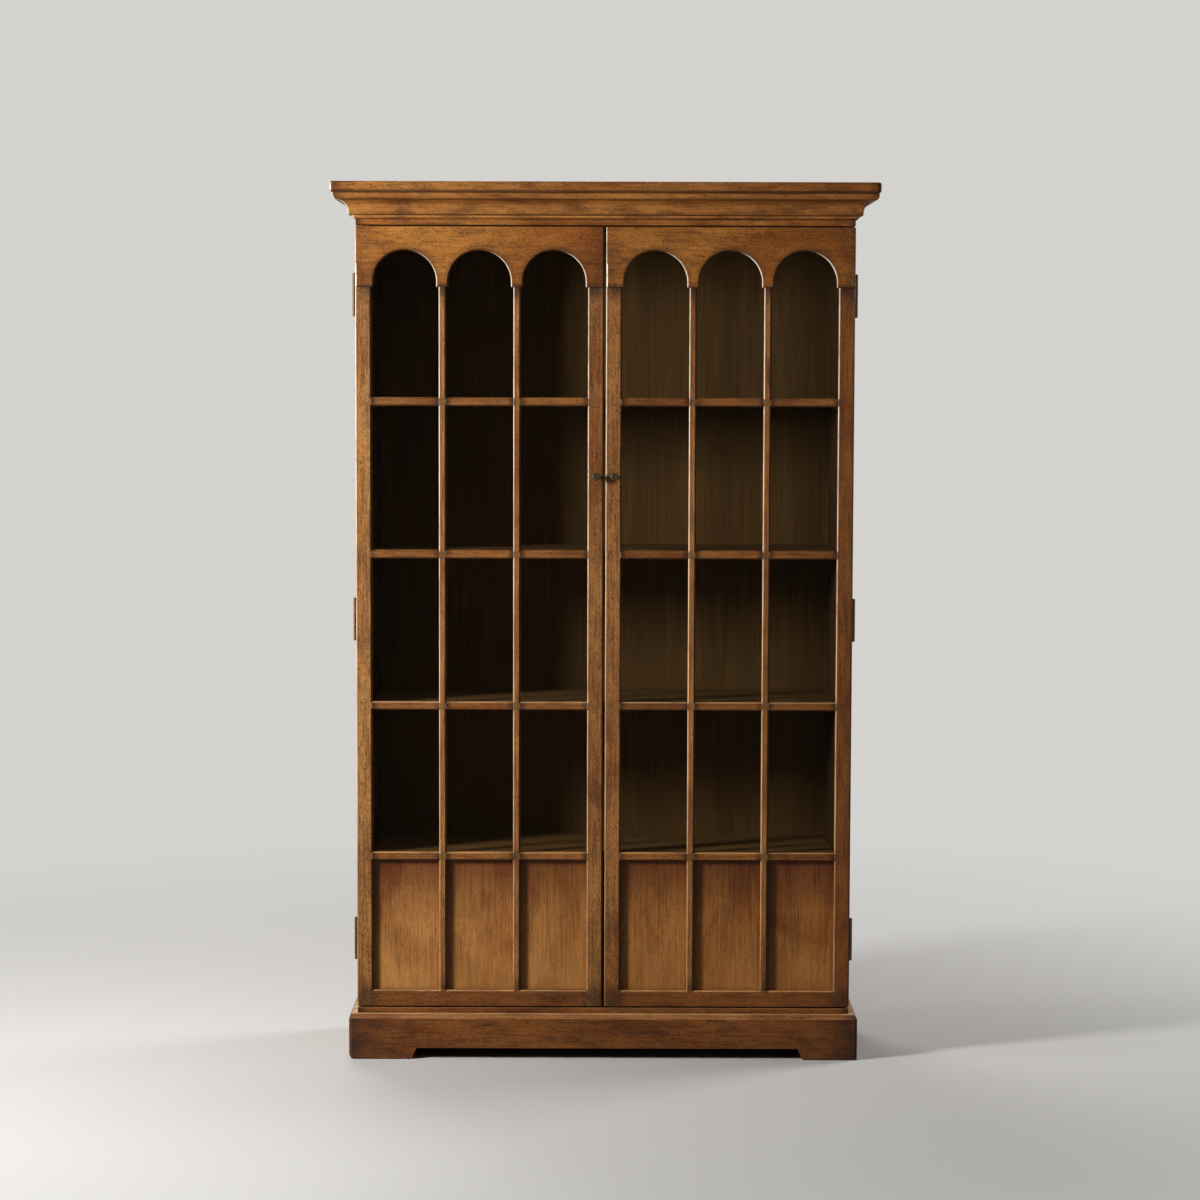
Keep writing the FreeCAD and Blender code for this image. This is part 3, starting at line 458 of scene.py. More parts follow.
def paintedShadeArrises(tree, look, at):
    # painted shade on the arrises that turn right or down, away from the light, and on the strip beside a painted
    # highlight line
    width = look["lineWidth"]
    near, far, strength = look["sideDark"]
    beside = times(tree, band(tree, at["lineEdge"], width * 1.15, width * 1.6),
                   fading(tree, at["lineEdge"], near, far, strength * look["arrises"]))
    if not look["arches"]:
        beside = times(tree, beside, at["atLeft"])
    right = turnedTo(tree, at["normalX"], 0.1, 0.4)
    down = turnedTo(tree, times(tree, at["normalZ"], -1.0), 0.1, 0.4)
    return largest(tree, beside, times(tree, largest(tree, right, down), look["turnedDark"] * look["arrises"]))


def levelLines(tree, height, levels, share=1.0):
    return [times(tree, times(tree, nearLevel(tree, height, level, width), strength), share)
            for level, width, strength in levels]


def stainedWood(title, grain, changes):
    look = {**woodLook, **changes}
    material, tree = newMaterial(title)
    at = boardGuide(tree, grain, look["arches"])
    height = at["height"]
    figure = alongGrain(tree, vectorCalc(tree, "ADD", at["place"], attributeAt(tree, "boardShift")), grain)
    noise = {name: noiseLayer(tree, figure, look[name + "Noise"])
             for name in ("cloud", "streak", "dash", "mottle", "stain", "speck")}
    # mottle that breaks up the painted highlights
    highlightBreakup = band(tree, noise["mottle"], 0.66, 0.40, 0.45, 1.0)

    tone = woodTone(tree, look, noise, at)
    # dark: the glaze, with painted shade on the arrises, along level lines and in the panels' recesses
    dark = largest(tree, darkGlaze(tree, look, noise, at, grain), paintedShadeArrises(tree, look, at),
                   *levelLines(tree, height, look["darkJointAndShadeLevels"]))
    # painted highlights on the arrises and along level lines
    pale = largest(tree, paintedHighlightArrises(tree, look, at, highlightBreakup), *levelLines(tree, height, look["paleHighlightLevels"], highlightBreakup))
    # painted highlight bands of gold
    if look["goldHighlightLevels"]:
        highlightGold = largest(tree, *levelLines(tree, height, look["goldHighlightLevels"], highlightBreakup))
        tone = mixColour(tree, highlightGold, tone, look["highlightGold"])
    # the cornice's front corners: a painted highlight on the left corner, painted shade on the right, as if lit from
    # the left
    mitre = look["mitre"]
    if mitre:
        reachX = less(tree, calc(tree, "ABSOLUTE", at["x"]), mitre["side"])
        reachY = less(tree, mitre["face"], at["y"])
        corner = nearLevel(tree, less(tree, reachX, reachY), 0.0, mitre["width"])
        toLeft = calc(tree, "LESS_THAN", at["x"], 0.0)
        pale = largest(tree, pale, times(tree, corner, toLeft))
        dark = largest(tree, dark, times(tree, corner, less(tree, mitre["dark"], toLeft)))
    tone = mixColour(tree, calc(tree, "MINIMUM", dark, 0.94), tone, look["darkGlaze"])
    # the tone of the painted highlights, honey low down and cream higher up
    highlightCream = mixColour(tree, band(tree, height, *look["highlightCreamRise"]), look["highlightCreamLow"], look["highlightCream"])
    tone = mixColour(tree, calc(tree, "MINIMUM", pale, 0.92), tone, highlightCream)

    roughness = calc(tree, "ADD", band(tree, noise["mottle"], 0.3, 0.7, *look["roughness"]), times(tree, dark, 0.12))
    relief = calc(tree, "ADD", times(tree, noise["streak"], 0.8), times(tree, noise["mottle"], 0.8))
    relief = less(tree, relief, band(tree, noise["dash"], 0.54, 0.66, 0.0, 0.5))
    return finished(material, surface(tree, tone, roughness, relief, look))


# Paint inside the case, dragged with a dry brush

paintLook = {
    "base": colour(92, 64, 32),
    "dark": colour(68, 47, 22),
    "light": colour(107, 77, 42),
    "line": colour(150, 132, 104),  # pale line where a side board meets the back
    "lineWidth": 0.004,
    "side": (0.34, 0.33, 0.30, 1.0),  # painted shade: the side boards' paint is darker by this
    "brush": (420.0, 0.008, 3.0, 0.65),
    "sweep": (30.0, 0.08, 3.0, 0.55, 0.3),
    "cloud": (4.0, 1.0, 3.0),
    "roughness": (0.55, 0.8),
    "bump": (0.0003, 0.6),
    "sheen": {"Specular IOR Level": 0.10},
}


def draggedPaint(name, grain, cornerY=None):
    look = paintLook
    material, tree = newMaterial(name)
    place = placeAt(tree)
    figure = alongGrain(tree, place, grain)
    brush, sweep = [noiseLayer(tree, figure, look[layer]) for layer in ("brush", "sweep")]
    cloud = noiseLayer(tree, place, look["cloud"])
    tone = mixColour(tree, band(tree, brush, 0.34, 0.68), look["dark"], look["base"])
    tone = mixColour(tree, band(tree, sweep, 0.50, 0.74, 0.0, 0.35), tone, look["light"])
    tone = mixColour(tree, band(tree, cloud, 0.5, 0.75, 0.0, 0.4), tone, look["dark"])
    if cornerY:
        # the side boards get a darker copy of the paint as painted shade
        tone = mixColour(tree, 1.0, tone, look["side"], "MULTIPLY")
        line = nearLevel(tree, partsOf(tree, place)[1], cornerY, look["lineWidth"])
        tone = mixColour(tree, times(tree, line, band(tree, cloud, 0.35, 0.6, 0.3, 0.9)), tone, look["line"])
    roughness = band(tree, brush, 0.3, 0.7, *look["roughness"])
    return finished(material, surface(tree, tone, roughness, brush, look))


# Unfinished wood of the back's outer face and the corner blocks

bareLook = {
    "pale": colour(158, 122, 80),
    "brown": colour(116, 82, 50),
    "grey": colour(94, 80, 64),
    "ring": (48.0, 0.05, 4.0, 0.6, 0.8),
    "saw": (15.6, 260.0 / 15.6, 1.0),  # its marks run across the grain
    "stain": (14.0, 0.18, 5.0, 0.65),
    "roughness": (0.72, 0.9),
    "bump": (0.0005, 0.6),
    "sheen": {"Specular IOR Level": 0.25},
}


def bareWood(name, grain):
    look = bareLook
    material, tree = newMaterial(name)
    figure = alongGrain(tree, placeAt(tree), grain)
    ring, saw, stain = [noiseLayer(tree, figure, look[layer]) for layer in ("ring", "saw", "stain")]
    tone = mixColour(tree, band(tree, ring, 0.35, 0.65), look["brown"], look["pale"])
    tone = mixColour(tree, band(tree, stain, 0.48, 0.72, 0.0, 0.55), tone, look["grey"])
    tone = mixColour(tree, band(tree, saw, 0.5, 0.7, 0.0, 0.22), tone, look["brown"])
    relief = calc(tree, "ADD", times(tree, saw, 0.5), ring)
    roughness = band(tree, ring, 0.3, 0.7, *look["roughness"])
    return finished(material, surface(tree, tone, roughness, relief, look))


# Metals

metalLook = {
    "bronze": {"base": colour(44, 36, 29), "dark": colour(22, 17, 14), "wearAndHighlight": colour(190, 164, 130),
               "scale": 420.0, "bump": (0.0002, 0.5), "roughness": (0.32, 0.50), "sheen": {"Metallic": 0.85},
               "slot": "dark_bronze"},
    "iron": {"base": colour(42, 32, 25), "dark": colour(22, 17, 13), "wearAndHighlight": colour(104, 78, 52),
             "scale": 240.0, "bump": (0.0002, 0.5), "roughness": (0.42, 0.70), "sheen": {"Metallic": 0.8},
             "slot": "dark_iron"},
    "steel": {"base": colour(178, 176, 170), "dark": colour(122, 119, 112), "wearAndHighlight": colour(214, 212, 206),
              "scale": 520.0, "bump": (0.0002, 0.5), "roughness": (0.24, 0.48), "sheen": {"Metallic": 1.0},
              "slot": "plain_steel"},
}
wearAndHighlightFrom = (0.512, 0.58)  # how sharp an edge is before it turns bright, as rubbed wear and as a painted highlight; 0.5 is flat


def wornMetal(name, look):
    material, tree = newMaterial(name)
    place = placeAt(tree)
    grit = noiseAt(tree, place, look["scale"], 4.0, 0.6)
    blotch = noiseAt(tree, place, look["scale"] / 6, 3.0, 0.6)
    sharp = addNode(tree, "ShaderNodeNewGeometry").outputs["Pointiness"]
    tone = mixColour(tree, band(tree, blotch, 0.38, 0.66), look["base"], look["dark"])
    # sharp edges turn bright: rubbed wear, and on the knobs a painted highlight of the lamp
    wearAndHighlight = times(tree, band(tree, sharp, *wearAndHighlightFrom), band(tree, grit, 0.35, 0.6, 0.3, 1.0))
    tone = mixColour(tree, wearAndHighlight, tone, look["wearAndHighlight"])
    roughness = band(tree, grit, 0.3, 0.7, *look["roughness"])
    return finished(material, surface(tree, tone, roughness, grit, look))


# Old clear glass, a little wavy

glassLook = {
    "tint": (0.97, 0.985, 0.97, 1.0),
    "waveScale": 9.0,
    "bump": (0.0006, 0.15),
    "hazeScale": 60.0,
    "haze": 0.02,
    "sheen": {"IOR": 1.06, "Transmission Weight": 1.0},
}


def clearGlass():
    look = glassLook
    material, tree = newMaterial("clearGlass")
    place = placeAt(tree)
    wave = noiseAt(tree, place, look["waveScale"], 1.0)
    haze = band(tree, noiseAt(tree, place, look["hazeScale"], 4.0, 0.7), 0.45, 0.8, 0.0, look["haze"])
    glass = surface(tree, look["tint"], haze, wave, look)
    through = addNode(tree, "ShaderNodeBsdfTransparent", {"Color": look["tint"]}).outputs[0]
    rays = addNode(tree, "ShaderNodeLightPath").outputs
    plain = largest(tree, rays["Is Shadow Ray"], rays["Is Diffuse Ray"])  # light goes straight through
    return finished(material, mixShader(tree, plain, glass, through))


# Joint levels and arches, read from the frame, so that glaze gathers where the pieces meet

def islandsOf(shape):
    left = set(shape.verts)
    groups = []
    for start in shape.verts:
        if start not in left:
            continue
        left.discard(start)
        group, queue = [start], [start]
        while queue:
            vert = queue.pop()
            for edge in vert.link_edges:
                other = edge.other_vert(vert)
                if other in left:
                    left.discard(other)
                    group.append(other)
                    queue.append(other)
        groups.append(group)
    return groups


def boxOf(group):
    return [Vector([pick(vert.co[axis] for vert in group) for axis in range(3)]) for pick in (min, max)]


def mergedShape(nodeName):
    shape = bmesh.new()
    shape.from_mesh(nodes[nodeName].data)
    bmesh.ops.remove_doubles(shape, verts=shape.verts[:], dist=1e-6)
    return shape


def islandBoxes(nodeName):
    shape = mergedShape(nodeName)
    boxes = [boxOf(group) for group in islandsOf(shape)]
    shape.free()
    return boxes


barLevels = sorted({round((low.z + high.z) / 2, 4) for low, high in islandBoxes("left_crossbars")})
barPitch = (barLevels[-1] - barLevels[0]) / (len(barLevels) - 1)
print("crossbar levels:", barLevels)

# glaze: the distances between which it fades, and its strength
jointGlaze = {"first": barLevels[0], "pitch": barPitch, "glaze": (0.004, 0.020, 0.50)}
stileGlaze = {**jointGlaze, "glaze": (0.004, 0.030, 0.24)}

archLook = {
    "pitch": 0.18028,
    "radius": 0.07544,
    "topBelowBoard": 0.0567,
    "glaze": (0.003, 0.020, 0.50),
    "footGlaze": (0.0, 0.020, 0.9),
    "leftEnd": (0.340, 1.0),  # how far from its right end each door's arch board darkens, and how much
    "rightEnd": (0.070, 0.30),
}


def archGuide(side):
    low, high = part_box(side + "_arcade_board")
    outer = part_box(side + "_outer_muntin")
    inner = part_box(side + "_inner_muntin")
    middle = (outer[0].x + outer[1].x + inner[0].x + inner[1].x) / 4
    spring = high.z - archLook["topBelowBoard"] - archLook["radius"]
    return {**archLook, "first": middle, "foot": low.z, "spring": spring}


# Boards: copies of the solids with their arrises softened

# how dark each board is toned: partly its own tone, and towards the right partly painted shade of the light falling
# off
toneAndShadeLook = {
    "left_": 0.06,
    "right_": 0.16,
    "right_hinge_stile": 1.0,
    "right_arcade_board": 0.28,
    "left_meeting_stile": 0.40,
    "right_meeting_stile": 0.24,
    "left_lower_panels": 0.12,
    "right_lower_panels": 0.58,
    "left_inner_muntin": 0.16,
    "right_outer_muntin": 0.30,
    "right_crossbars": 0.30,
    "plinth": 0.08,
    "cornice": 0.0,
    "frieze": 0.30,
}
softLook = {
    "segments": 2,
    "flat": 0.6,  # degrees: faces that meet flatter than this are made one
    "sharp": 24.0,  # edges sharper than this are softened
    "smooth": 40.0,  # those flatter than this are shaded as a curve
    "otherTone": 0.1,  # the tone of boards that the table above doesn't name
    "toneSpread": 0.06,
    "figureShift": 9.0,
}


def boardToneAndShade(nodeName):
    # the longest name that fits says how dark a board is toned, partly as painted shade
    fitting = [name for name in toneAndShadeLook if nodeName.startswith(name)]
    return toneAndShadeLook[max(fitting, key=len)] if fitting else softLook["otherTone"]


def shadeCurves(shape, limit):
    for edge in shape.edges:
        edge.smooth = len(edge.link_faces) == 2 and edge.calc_face_angle(0.0) < math.radians(limit)
    for face in shape.faces:
        face.smooth = True


def softened(nodeName, ending, width, material, shortest=0.003):
    look = softLook
    shape = mergedShape(nodeName)
    bmesh.ops.dissolve_limit(shape, angle_limit=math.radians(look["flat"]), verts=shape.verts[:],
                             edges=shape.edges[:])
    chosen = []
    for edge in shape.edges:
        if len(edge.link_faces) != 2 or edge.calc_length() < shortest:
            continue
        if edge.calc_face_angle_signed(0.0) > math.radians(look["sharp"]):
            chosen.append(edge)
    bmesh.ops.bevel(shape, geom=chosen, offset=width, offset_type="OFFSET", segments=look["segments"],
                    profile=0.5, affect="EDGES", clamp_overlap=False)
    shadeCurves(shape, look["smooth"])
    mesh = bpy.data.meshes.new(nodeName + ending)
    markBoards(shape, mesh, nodeName)
    piece = addObject(nodeName + ending, mesh)
    even = piece.modifiers.new("evenNormals", "WEIGHTED_NORMAL")
    even.keep_sharp = True
    return settle(piece, nodeName, material)


def setVectors(mesh, name, values):
    layer = mesh.attributes.new(name, "FLOAT_VECTOR", "POINT")
    layer.data.foreach_set("vector", [part for value in values for part in value])


def markBoards(shape, mesh, seedName):
    # each board carries its own middle, half size, a shift of its figure and a tone that is partly painted shade
    shape.verts.index_update()
    draw = random.Random(seedName)
    far, spread = softLook["figureShift"], softLook["toneSpread"]
    middles, halves, shifts, tones = [[None] * len(shape.verts) for _ in range(4)]
    for group in islandsOf(shape):
        low, high = boxOf(group)
        shift = Vector([draw.uniform(-far, far) for _ in range(3)])
        tone = boardToneAndShade(seedName) + draw.uniform(-spread, spread)
        for vert in group:
            tones[vert.index] = max(tone, 0.0)
            middles[vert.index] = (low + high) / 2
            halves[vert.index] = (high - low) / 2
            shifts[vert.index] = shift
    shape.to_mesh(mesh)
    shape.free()
    setVectors(mesh, "boardMiddle", middles)
    setVectors(mesh, "boardHalf", halves)
    setVectors(mesh, "boardShift", shifts)
    mesh.attributes.new("boardToneAndShade", "FLOAT", "POINT").data.foreach_set("value", tones)


def settle(piece, nodeName, material=None):
    if material:
        piece.data.materials.append(material)
    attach(piece, nodes[nodeName]["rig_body"])
    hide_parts(nodeName)
    return piece


def secondFinish(piece, material, chosen):
    piece.data.materials.append(material)
    for face in piece.data.polygons:
        if chosen(face):
            face.material_index = 1


makeCamera()
for name, look in lampLook.items():
    makeLamp(name, look)
makeWorld()
makeFloor()
print("camera, lamps and floor made")

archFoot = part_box("left_arcade_board")[0].z
panelLow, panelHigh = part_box("left_lower_panels")
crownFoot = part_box("cornice_top_board")[0].z
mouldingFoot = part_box("cornice_front")[0].z
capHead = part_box("plinth_top_board")[1].z
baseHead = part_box("base_rail")[1].z
caseLow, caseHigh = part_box("frieze_rail")
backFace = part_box("back_panel")[0].y


def stain(light, middle, deep):
    return {"light": colour(*light), "middle": colour(*middle), "deep": colour(*deep)}


warmTone = stain((180, 118, 50), (148, 92, 36), (98, 56, 20))
railTone = {**stain((144, 87, 37), (116, 68, 26), (78, 44, 17)), "speck": 2.0}

jointLine = [(archFoot, 0.0024, 0.95)]
uprightLook = {"speck": 2.1, "contrast": 1.3, "joints": stileGlaze, "darkJointAndShadeLevels": jointLine,
               "ends": (0.060, 0.95), "inset": 0.022}
muntinLook = {**uprightLook, "speck": 1.9, "contrast": 1.2, "joints": jointGlaze, "inset": 0.010}
barLook = {**stain((158, 102, 48), (128, 80, 37), (88, 52, 23)), "speck": 1.4, "ends": (0.020, 1.0), "inset": 0.005,
           "topArris": 0.6, "topFade": (0.92, 1.10)}
railLook = {**railTone, "ends": (0.030, 0.5), "inset": 0.025, "topArris": 0.65}
panelLook = {
    **stain((196, 138, 74), (164, 109, 54), (116, 72, 34)),
    "streakNoise": (240.0, 0.025, 4.0, 0.65, 0.4), "speckNoise": (420.0, 0.6, 3.0, 0.75, 0.0),
    "glaze": 0.18, "ends": (0.012, 0.3), "inset": 0.005,
    "panel": {"foot": panelLow.z, "head": panelHigh.z, "goldenTo": 0.16, "golden": 0.35,
              "shadeFrom": (panelHigh.z - panelLow.z) * 0.42,
              # painted shadow on the left side of the recess, glaze and painted shade under the crossbar at its head
              "leftGlaze": (0.004, 0.034, 0.56), "headGlaze": (0.006, 0.030, 0.30),
              "sideGlaze": (0.006, 0.016, 0.22)},  # left in the recess
}
arcadeLook = {
    **warmTone, "paleFrom": (0.20, 0.55), "lineWidth": 0.0014, "speck": 1.45, "contrast": 0.72, "glaze": 0.42,
    "ends": (0.060, 0.45), "darkJointAndShadeLevels": jointLine,
}
corniceLook = {
    **warmTone, "speck": 1.35, "glaze": 0.42, "ends": (0.05, 0.8), "arrises": 0.0,
    # dark lines under the slab, the bead and the cove and at the moulding's foot: glaze in the creases and painted
    # shade under the overhangs
    "darkJointAndShadeLevels": [(crownFoot, 0.0018, 0.20), (crownFoot - 0.0150, 0.0020, 0.50),
                   (crownFoot - 0.0500, 0.0016, 0.60), (mouldingFoot, 0.0026, 0.80)],
    # painted highlights: a pale line at the cove's foot, a broad band across the cove and one on the bead
    "goldHighlightLevels": [(crownFoot - 0.0538, 0.0018, 0.55), (crownFoot - 0.0350, 0.0120, 0.22),
                   (crownFoot - 0.0070, 0.0070, 0.18)],
    "mitre": {"side": caseHigh.x, "face": caseLow.y, "width": 0.0042, "dark": 0.8},
}
# the crown's right end darkens as painted shade of the light falling off
crownLook = {
    **stain((188, 125, 57), (156, 98, 42), (102, 60, 23)), "speck": 1.4,
    "glaze": 0.42, "ends": (0.045, 0.8), "rightEnd": (0.22, 0.45), "darkJointAndShadeLevels": [(crownFoot, 0.0016, 0.3)],
    "paleFrom": (0.45, 0.72), "lineWidth": 0.0036, "uprightOnly": True, "roughness": (0.66, 0.84),
}
sideLook = {
    **stain((160, 109, 58), (133, 87, 44), (97, 59, 28)), "speck": 1.3,
    "cloudNoise": (3.5, 0.4, 3.0, 0.55, 0.5), "stainNoise": (3.2, 0.6, 4.0, 0.6, 0.6), "stain": 0.45,
    "ends": (0.08, 0.7),
}
plinthLook = {
    **stain((136, 81, 35), (109, 62, 24), (72, 41, 17)), "speck": 1.35,
    "glaze": 0.42, "ends": (0.11, 0.9), "arrises": 0.2, "darkJointAndShadeLevels": [(0.0, 0.003, 0.8)],
}
capLook = {**stain((160, 106, 58), (134, 84, 42), (94, 57, 27)), "ends": (0.05, 0.8), "arrises": 0.2,
           # a painted highlight along the cap's top arris
           "paleHighlightLevels": [(capHead, 0.0016, 0.60)]}
# painted shade at the rail's foot where it meets the cap, a painted highlight along its top
baseLook = {**railTone, "arrises": 0.3, "darkJointAndShadeLevels": [(capHead, 0.0030, 0.6)],
            "paleHighlightLevels": [(baseHead, 0.0014, 0.25)]}
woods = {
    "upright": ("Z", uprightLook),
    "muntin": ("Z", muntinLook),
    "bar": ("X", barLook),
    "bead": ("Z", {}),
    "rail": ("X", railLook),
    "panel": ("Z", panelLook),
    # the cornice's right end darkens as painted shade of the light falling off
    "cornice": ("X", {**corniceLook, "rightEnd": (0.80, 0.70)}),
    "corniceSide": ("Y", corniceLook),
    "crown": ("X", crownLook),
    "frieze": ("X", {**warmTone, "glaze": 0.40}),
    "plinth": ("X", plinthLook),
    "plinthSide": ("Y", plinthLook),
    "cap": ("X", capLook),
    "base": ("X", baseLook),
    "side": ("Z", sideLook),
}
for side in ("left", "right"):
    woods[side + "Arcade"] = ("X", {**arcadeLook, "arches": archGuide(side), "rightEnd": archLook[side + "End"]})
wood = {name: stainedWood("wood" + name[0].upper() + name[1:], grain, look) for name, (grain, look) in woods.items()}
paint = {"upright": draggedPaint("paintUpright", "Z"), "level": draggedPaint("paintLevel", "X"),
         "side": draggedPaint("paintSide", "Z", backFace - 0.003)}
bare = bareWood("bareUpright", "Z")
metal = {name: wornMetal(name + "Metal", look) for name, look in metalLook.items()}
glass = clearGlass()
print("materials made")

# Case boards: node, material, softening of the arrises

caseBoards = {
    "plinth_top_board": ("cap", 0.0010),
    "plinth_front": ("plinth", 0.0016),
    "plinth_left": ("plinthSide", 0.0016),
    "plinth_right": ("plinthSide", 0.0016),
    "plinth_back": ("plinth", 0.0010),
    "side_panel_left": ("side", 0.0010),
    "side_panel_right": ("side", 0.0010),
    "base_rail": ("base", 0.0012),
    "frieze_rail": ("frieze", 0.0008),
    "cornice_front": ("cornice", 0.0007),
    "cornice_left": ("corniceSide", 0.0007),
    "cornice_right": ("corniceSide", 0.0007),
    "cornice_top_board": ("crown", 0.0008),
}
paintedBoards = {"bottom_panel": "level", "top_panel": "level", "shelf_1": "level", "shelf_2": "level",
                 "shelf_3": "level", "shelf_4": "level", "back_panel": "upright"}
paintedWidth = 0.0010
onFace = 0.0005  # metres within which a face counts as lying on a board's own face

for nodeName, (look, width) in caseBoards.items():
    piece = softened(nodeName, "_wood", width, wood[look])
    if nodeName.startswith("side_panel"):
        inner = min(abs(corner.x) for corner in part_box(nodeName))
        secondFinish(piece, paint["side"], lambda face: abs(face.normal.x) > 0.9
                     and abs(abs(face.center.x) - inner) < onFace)

for nodeName, look in paintedBoards.items():
    piece = softened(nodeName, "_painted", paintedWidth, paint[look])
    if nodeName == "back_panel":
        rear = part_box(nodeName)[1].y
        secondFinish(piece, bare, lambda face: face.center.y > rear - onFace)
softened("plinth_corner_blocks", "_sawn", 0.0008, bare)
print("case boards finished")

# Doors: board, material, softening of the arrises

doorBoards = {
    "hinge_stile": ("upright", 0.0009),
    "meeting_stile": ("upright", 0.0009),
    "bottom_rail": ("rail", 0.0009),
    "inner_muntin": ("muntin", 0.0008),
    "outer_muntin": ("muntin", 0.0008),
    "crossbars": ("bar", 0.0008),
    "lower_panels": ("panel", 0.0006),
    "glazing_beads": ("bead", 0.0005),
}
for side in ("left", "right"):
    doorBoards["arcade_board"] = (side + "Arcade", 0.0009)
    for name, (look, width) in doorBoards.items():
        nodeName = side + "_" + name
        shortest = 0.0015 if name == "arcade_board" else 0.003  # the arches are made of short edges
        softened(nodeName, "_wood", width, wood[look], shortest)
    panes = nodes[side + "_glass_panes"].data.materials
    panes.clear()
    panes.append(glass)
print("doors finished")

# Hinges, catches, strikes and nuts: metal, softening

metalPieces = {
    "case_hinge_leaves": ("iron", 0.00035),
    "hinge_pins": ("iron", 0.0004),
    "door_catches": ("steel", 0.0004),
    "left_door_hinge_leaves": ("iron", 0.00035),
    "right_door_hinge_leaves": ("iron", 0.00035),
    "left_strike_plate": ("steel", 0.0003),
    "right_strike_plate": ("steel", 0.0003),
    "left_knob_nut": ("bronze", 0.0003),
    "right_knob_nut": ("bronze", 0.0003),
}
for nodeName, (look, width) in metalPieces.items():
    softened(nodeName, "_metal", width, metal[look], shortest=0.0012)
print("hinges and catches finished")

# Knobs and rosettes, turned

knobLook = {
    "headRadius": 0.0095,
    "headDepth": 0.0165,
    "headRound": 0.0030,
    "backRound": 0.0085,
    "ringRadius": 0.0064,
    "ringWidth": 0.0012,
    "dishDepth": 0.0010,
    "bossRadius": 0.0029,
    "bossHeight": 0.0020,
    "neckRadius": 0.0032,
    "neckFlare": 0.0016,
    "studRadius": 0.0020,
    "boreRadius": 0.0021,  # of the rosette, round the stud
    "rosetteRound": 0.65,  # share of its thickness that rounds its rim
    "rosetteStep": (0.78, 0.62, 0.55),  # its inner step: share of its thickness, shares of its radius
    "turns": 72,
    "smooth": 50.0,
}


def arcPoints(out, radius, size, start, end, steps=8, high=None):
    # size is the arc's reach away from the axis, high its reach along it where that differs
    points = []
    for index in range(steps + 1):
        angle = math.radians(start + (end - start) * index / steps)
        points.append((out + (high or size) * math.sin(angle), radius + size * math.cos(angle)))
    return points


def turnedPiece(nodeName, outline, centre):
    # outline is (distance out of the door, radius); the axis runs along Y
    shape = bmesh.new()
    ring = [shape.verts.new(centre + Vector((radius, -out, 0))) for out, radius in outline]
    edges = [shape.edges.new(pair) for pair in zip(ring[:-1], ring[1:])]
    bmesh.ops.spin(shape, geom=ring + edges, cent=centre, axis=(0, 1, 0), dvec=(0, 0, 0),
                   angle=math.radians(360.0), steps=knobLook["turns"], use_merge=True)
    bmesh.ops.remove_doubles(shape, verts=shape.verts[:], dist=1e-6)
    bmesh.ops.recalc_face_normals(shape, faces=shape.faces[:])
    shadeCurves(shape, knobLook["smooth"])
    mesh = bpy.data.meshes.new(nodeName + "_turned")
    shape.to_mesh(mesh)
    shape.free()
    settle(addObject(nodeName + "_turned", mesh), nodeName, metal["bronze"])


def knobOutline(front, back, rosetteOut):
    # from the stud's back end, along the neck and round the head to the boss in its dish
    look = knobLook
    flare, neck, rim, ring = look["neckFlare"], look["neckRadius"], look["ringRadius"], look["ringWidth"]
    rounding, backRound = look["headRound"], look["backRound"]
    headBack, dish = front - look["headDepth"], front - look["dishDepth"]
    backMid = look["headRadius"] - backRound
    meet = math.degrees(math.acos((neck - backMid) / backRound))  # where the head's back meets the neck
    points = [(back, 0.0), (back, look["studRadius"]), (rosetteOut, look["studRadius"]), (rosetteOut, neck + flare)]
    points += arcPoints(rosetteOut + flare, neck + flare, -flare, 90.0, 0.0, 6)
    points += [(headBack - flare, neck)]
    points += arcPoints(headBack + backRound, backMid, backRound, -meet, 0.0)
    points += arcPoints(front - rounding, look["headRadius"] - rounding, rounding, 0.0, 90.0)
    points += [(dish, rim + ring * 0.3)]
    points += arcPoints(dish, rim - ring, ring, 0.0, 180.0)
    points += [(dish, look["bossRadius"] + 0.0004)]
    points += arcPoints(dish, 0.0, look["bossRadius"], 0.0, 90.0, 6, look["bossHeight"])
    return points


def makeKnob(side):
    look = knobLook
    low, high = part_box(side + "_knob")
    plateLow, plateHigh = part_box(side + "_knob_rosette")
    face = plateHigh.y
    centre = Vector(((low.x + high.x) / 2, face, (low.z + high.z) / 2))
    thick, rim = plateHigh.y - plateLow.y, (plateHigh.x - plateLow.x) / 2
    front = face - low.y - look["bossHeight"] + look["dishDepth"]
    turnedPiece(side + "_knob", knobOutline(front, face - high.y, thick), centre)
    rounding, bore = thick * look["rosetteRound"], look["boreRadius"]
    rise, outer, inner = look["rosetteStep"]
    outline = [(0.0, bore), (0.0, rim)]
    outline += arcPoints(thick - rounding, rim - rounding, rounding, 0.0, 90.0)
    outline += [(thick * rise, rim * outer), (thick, rim * inner), (thick, bore), (0.0, bore)]
    turnedPiece(side + "_knob_rosette", outline, centre)


for side in ("left", "right"):
    makeKnob(side)
print("knobs finished")

# Screws and pegs, set by Geometry Nodes; the names are those of the trees' inputs

screwLook = {
    "headRadius": 0.0036,
    "headHeight": 0.0018,
    "shankRadius": 0.0019,
    "tipHeight": 0.0040,
    "tipRadius": 0.0003,
    "slotWidth": 0.0010,
    "slotDepth": 0.0009,
    "sides": 20,
}

pegLook = {
    "rounding": 0.0008,
    "sides": 24,
    "steps": 24,
}


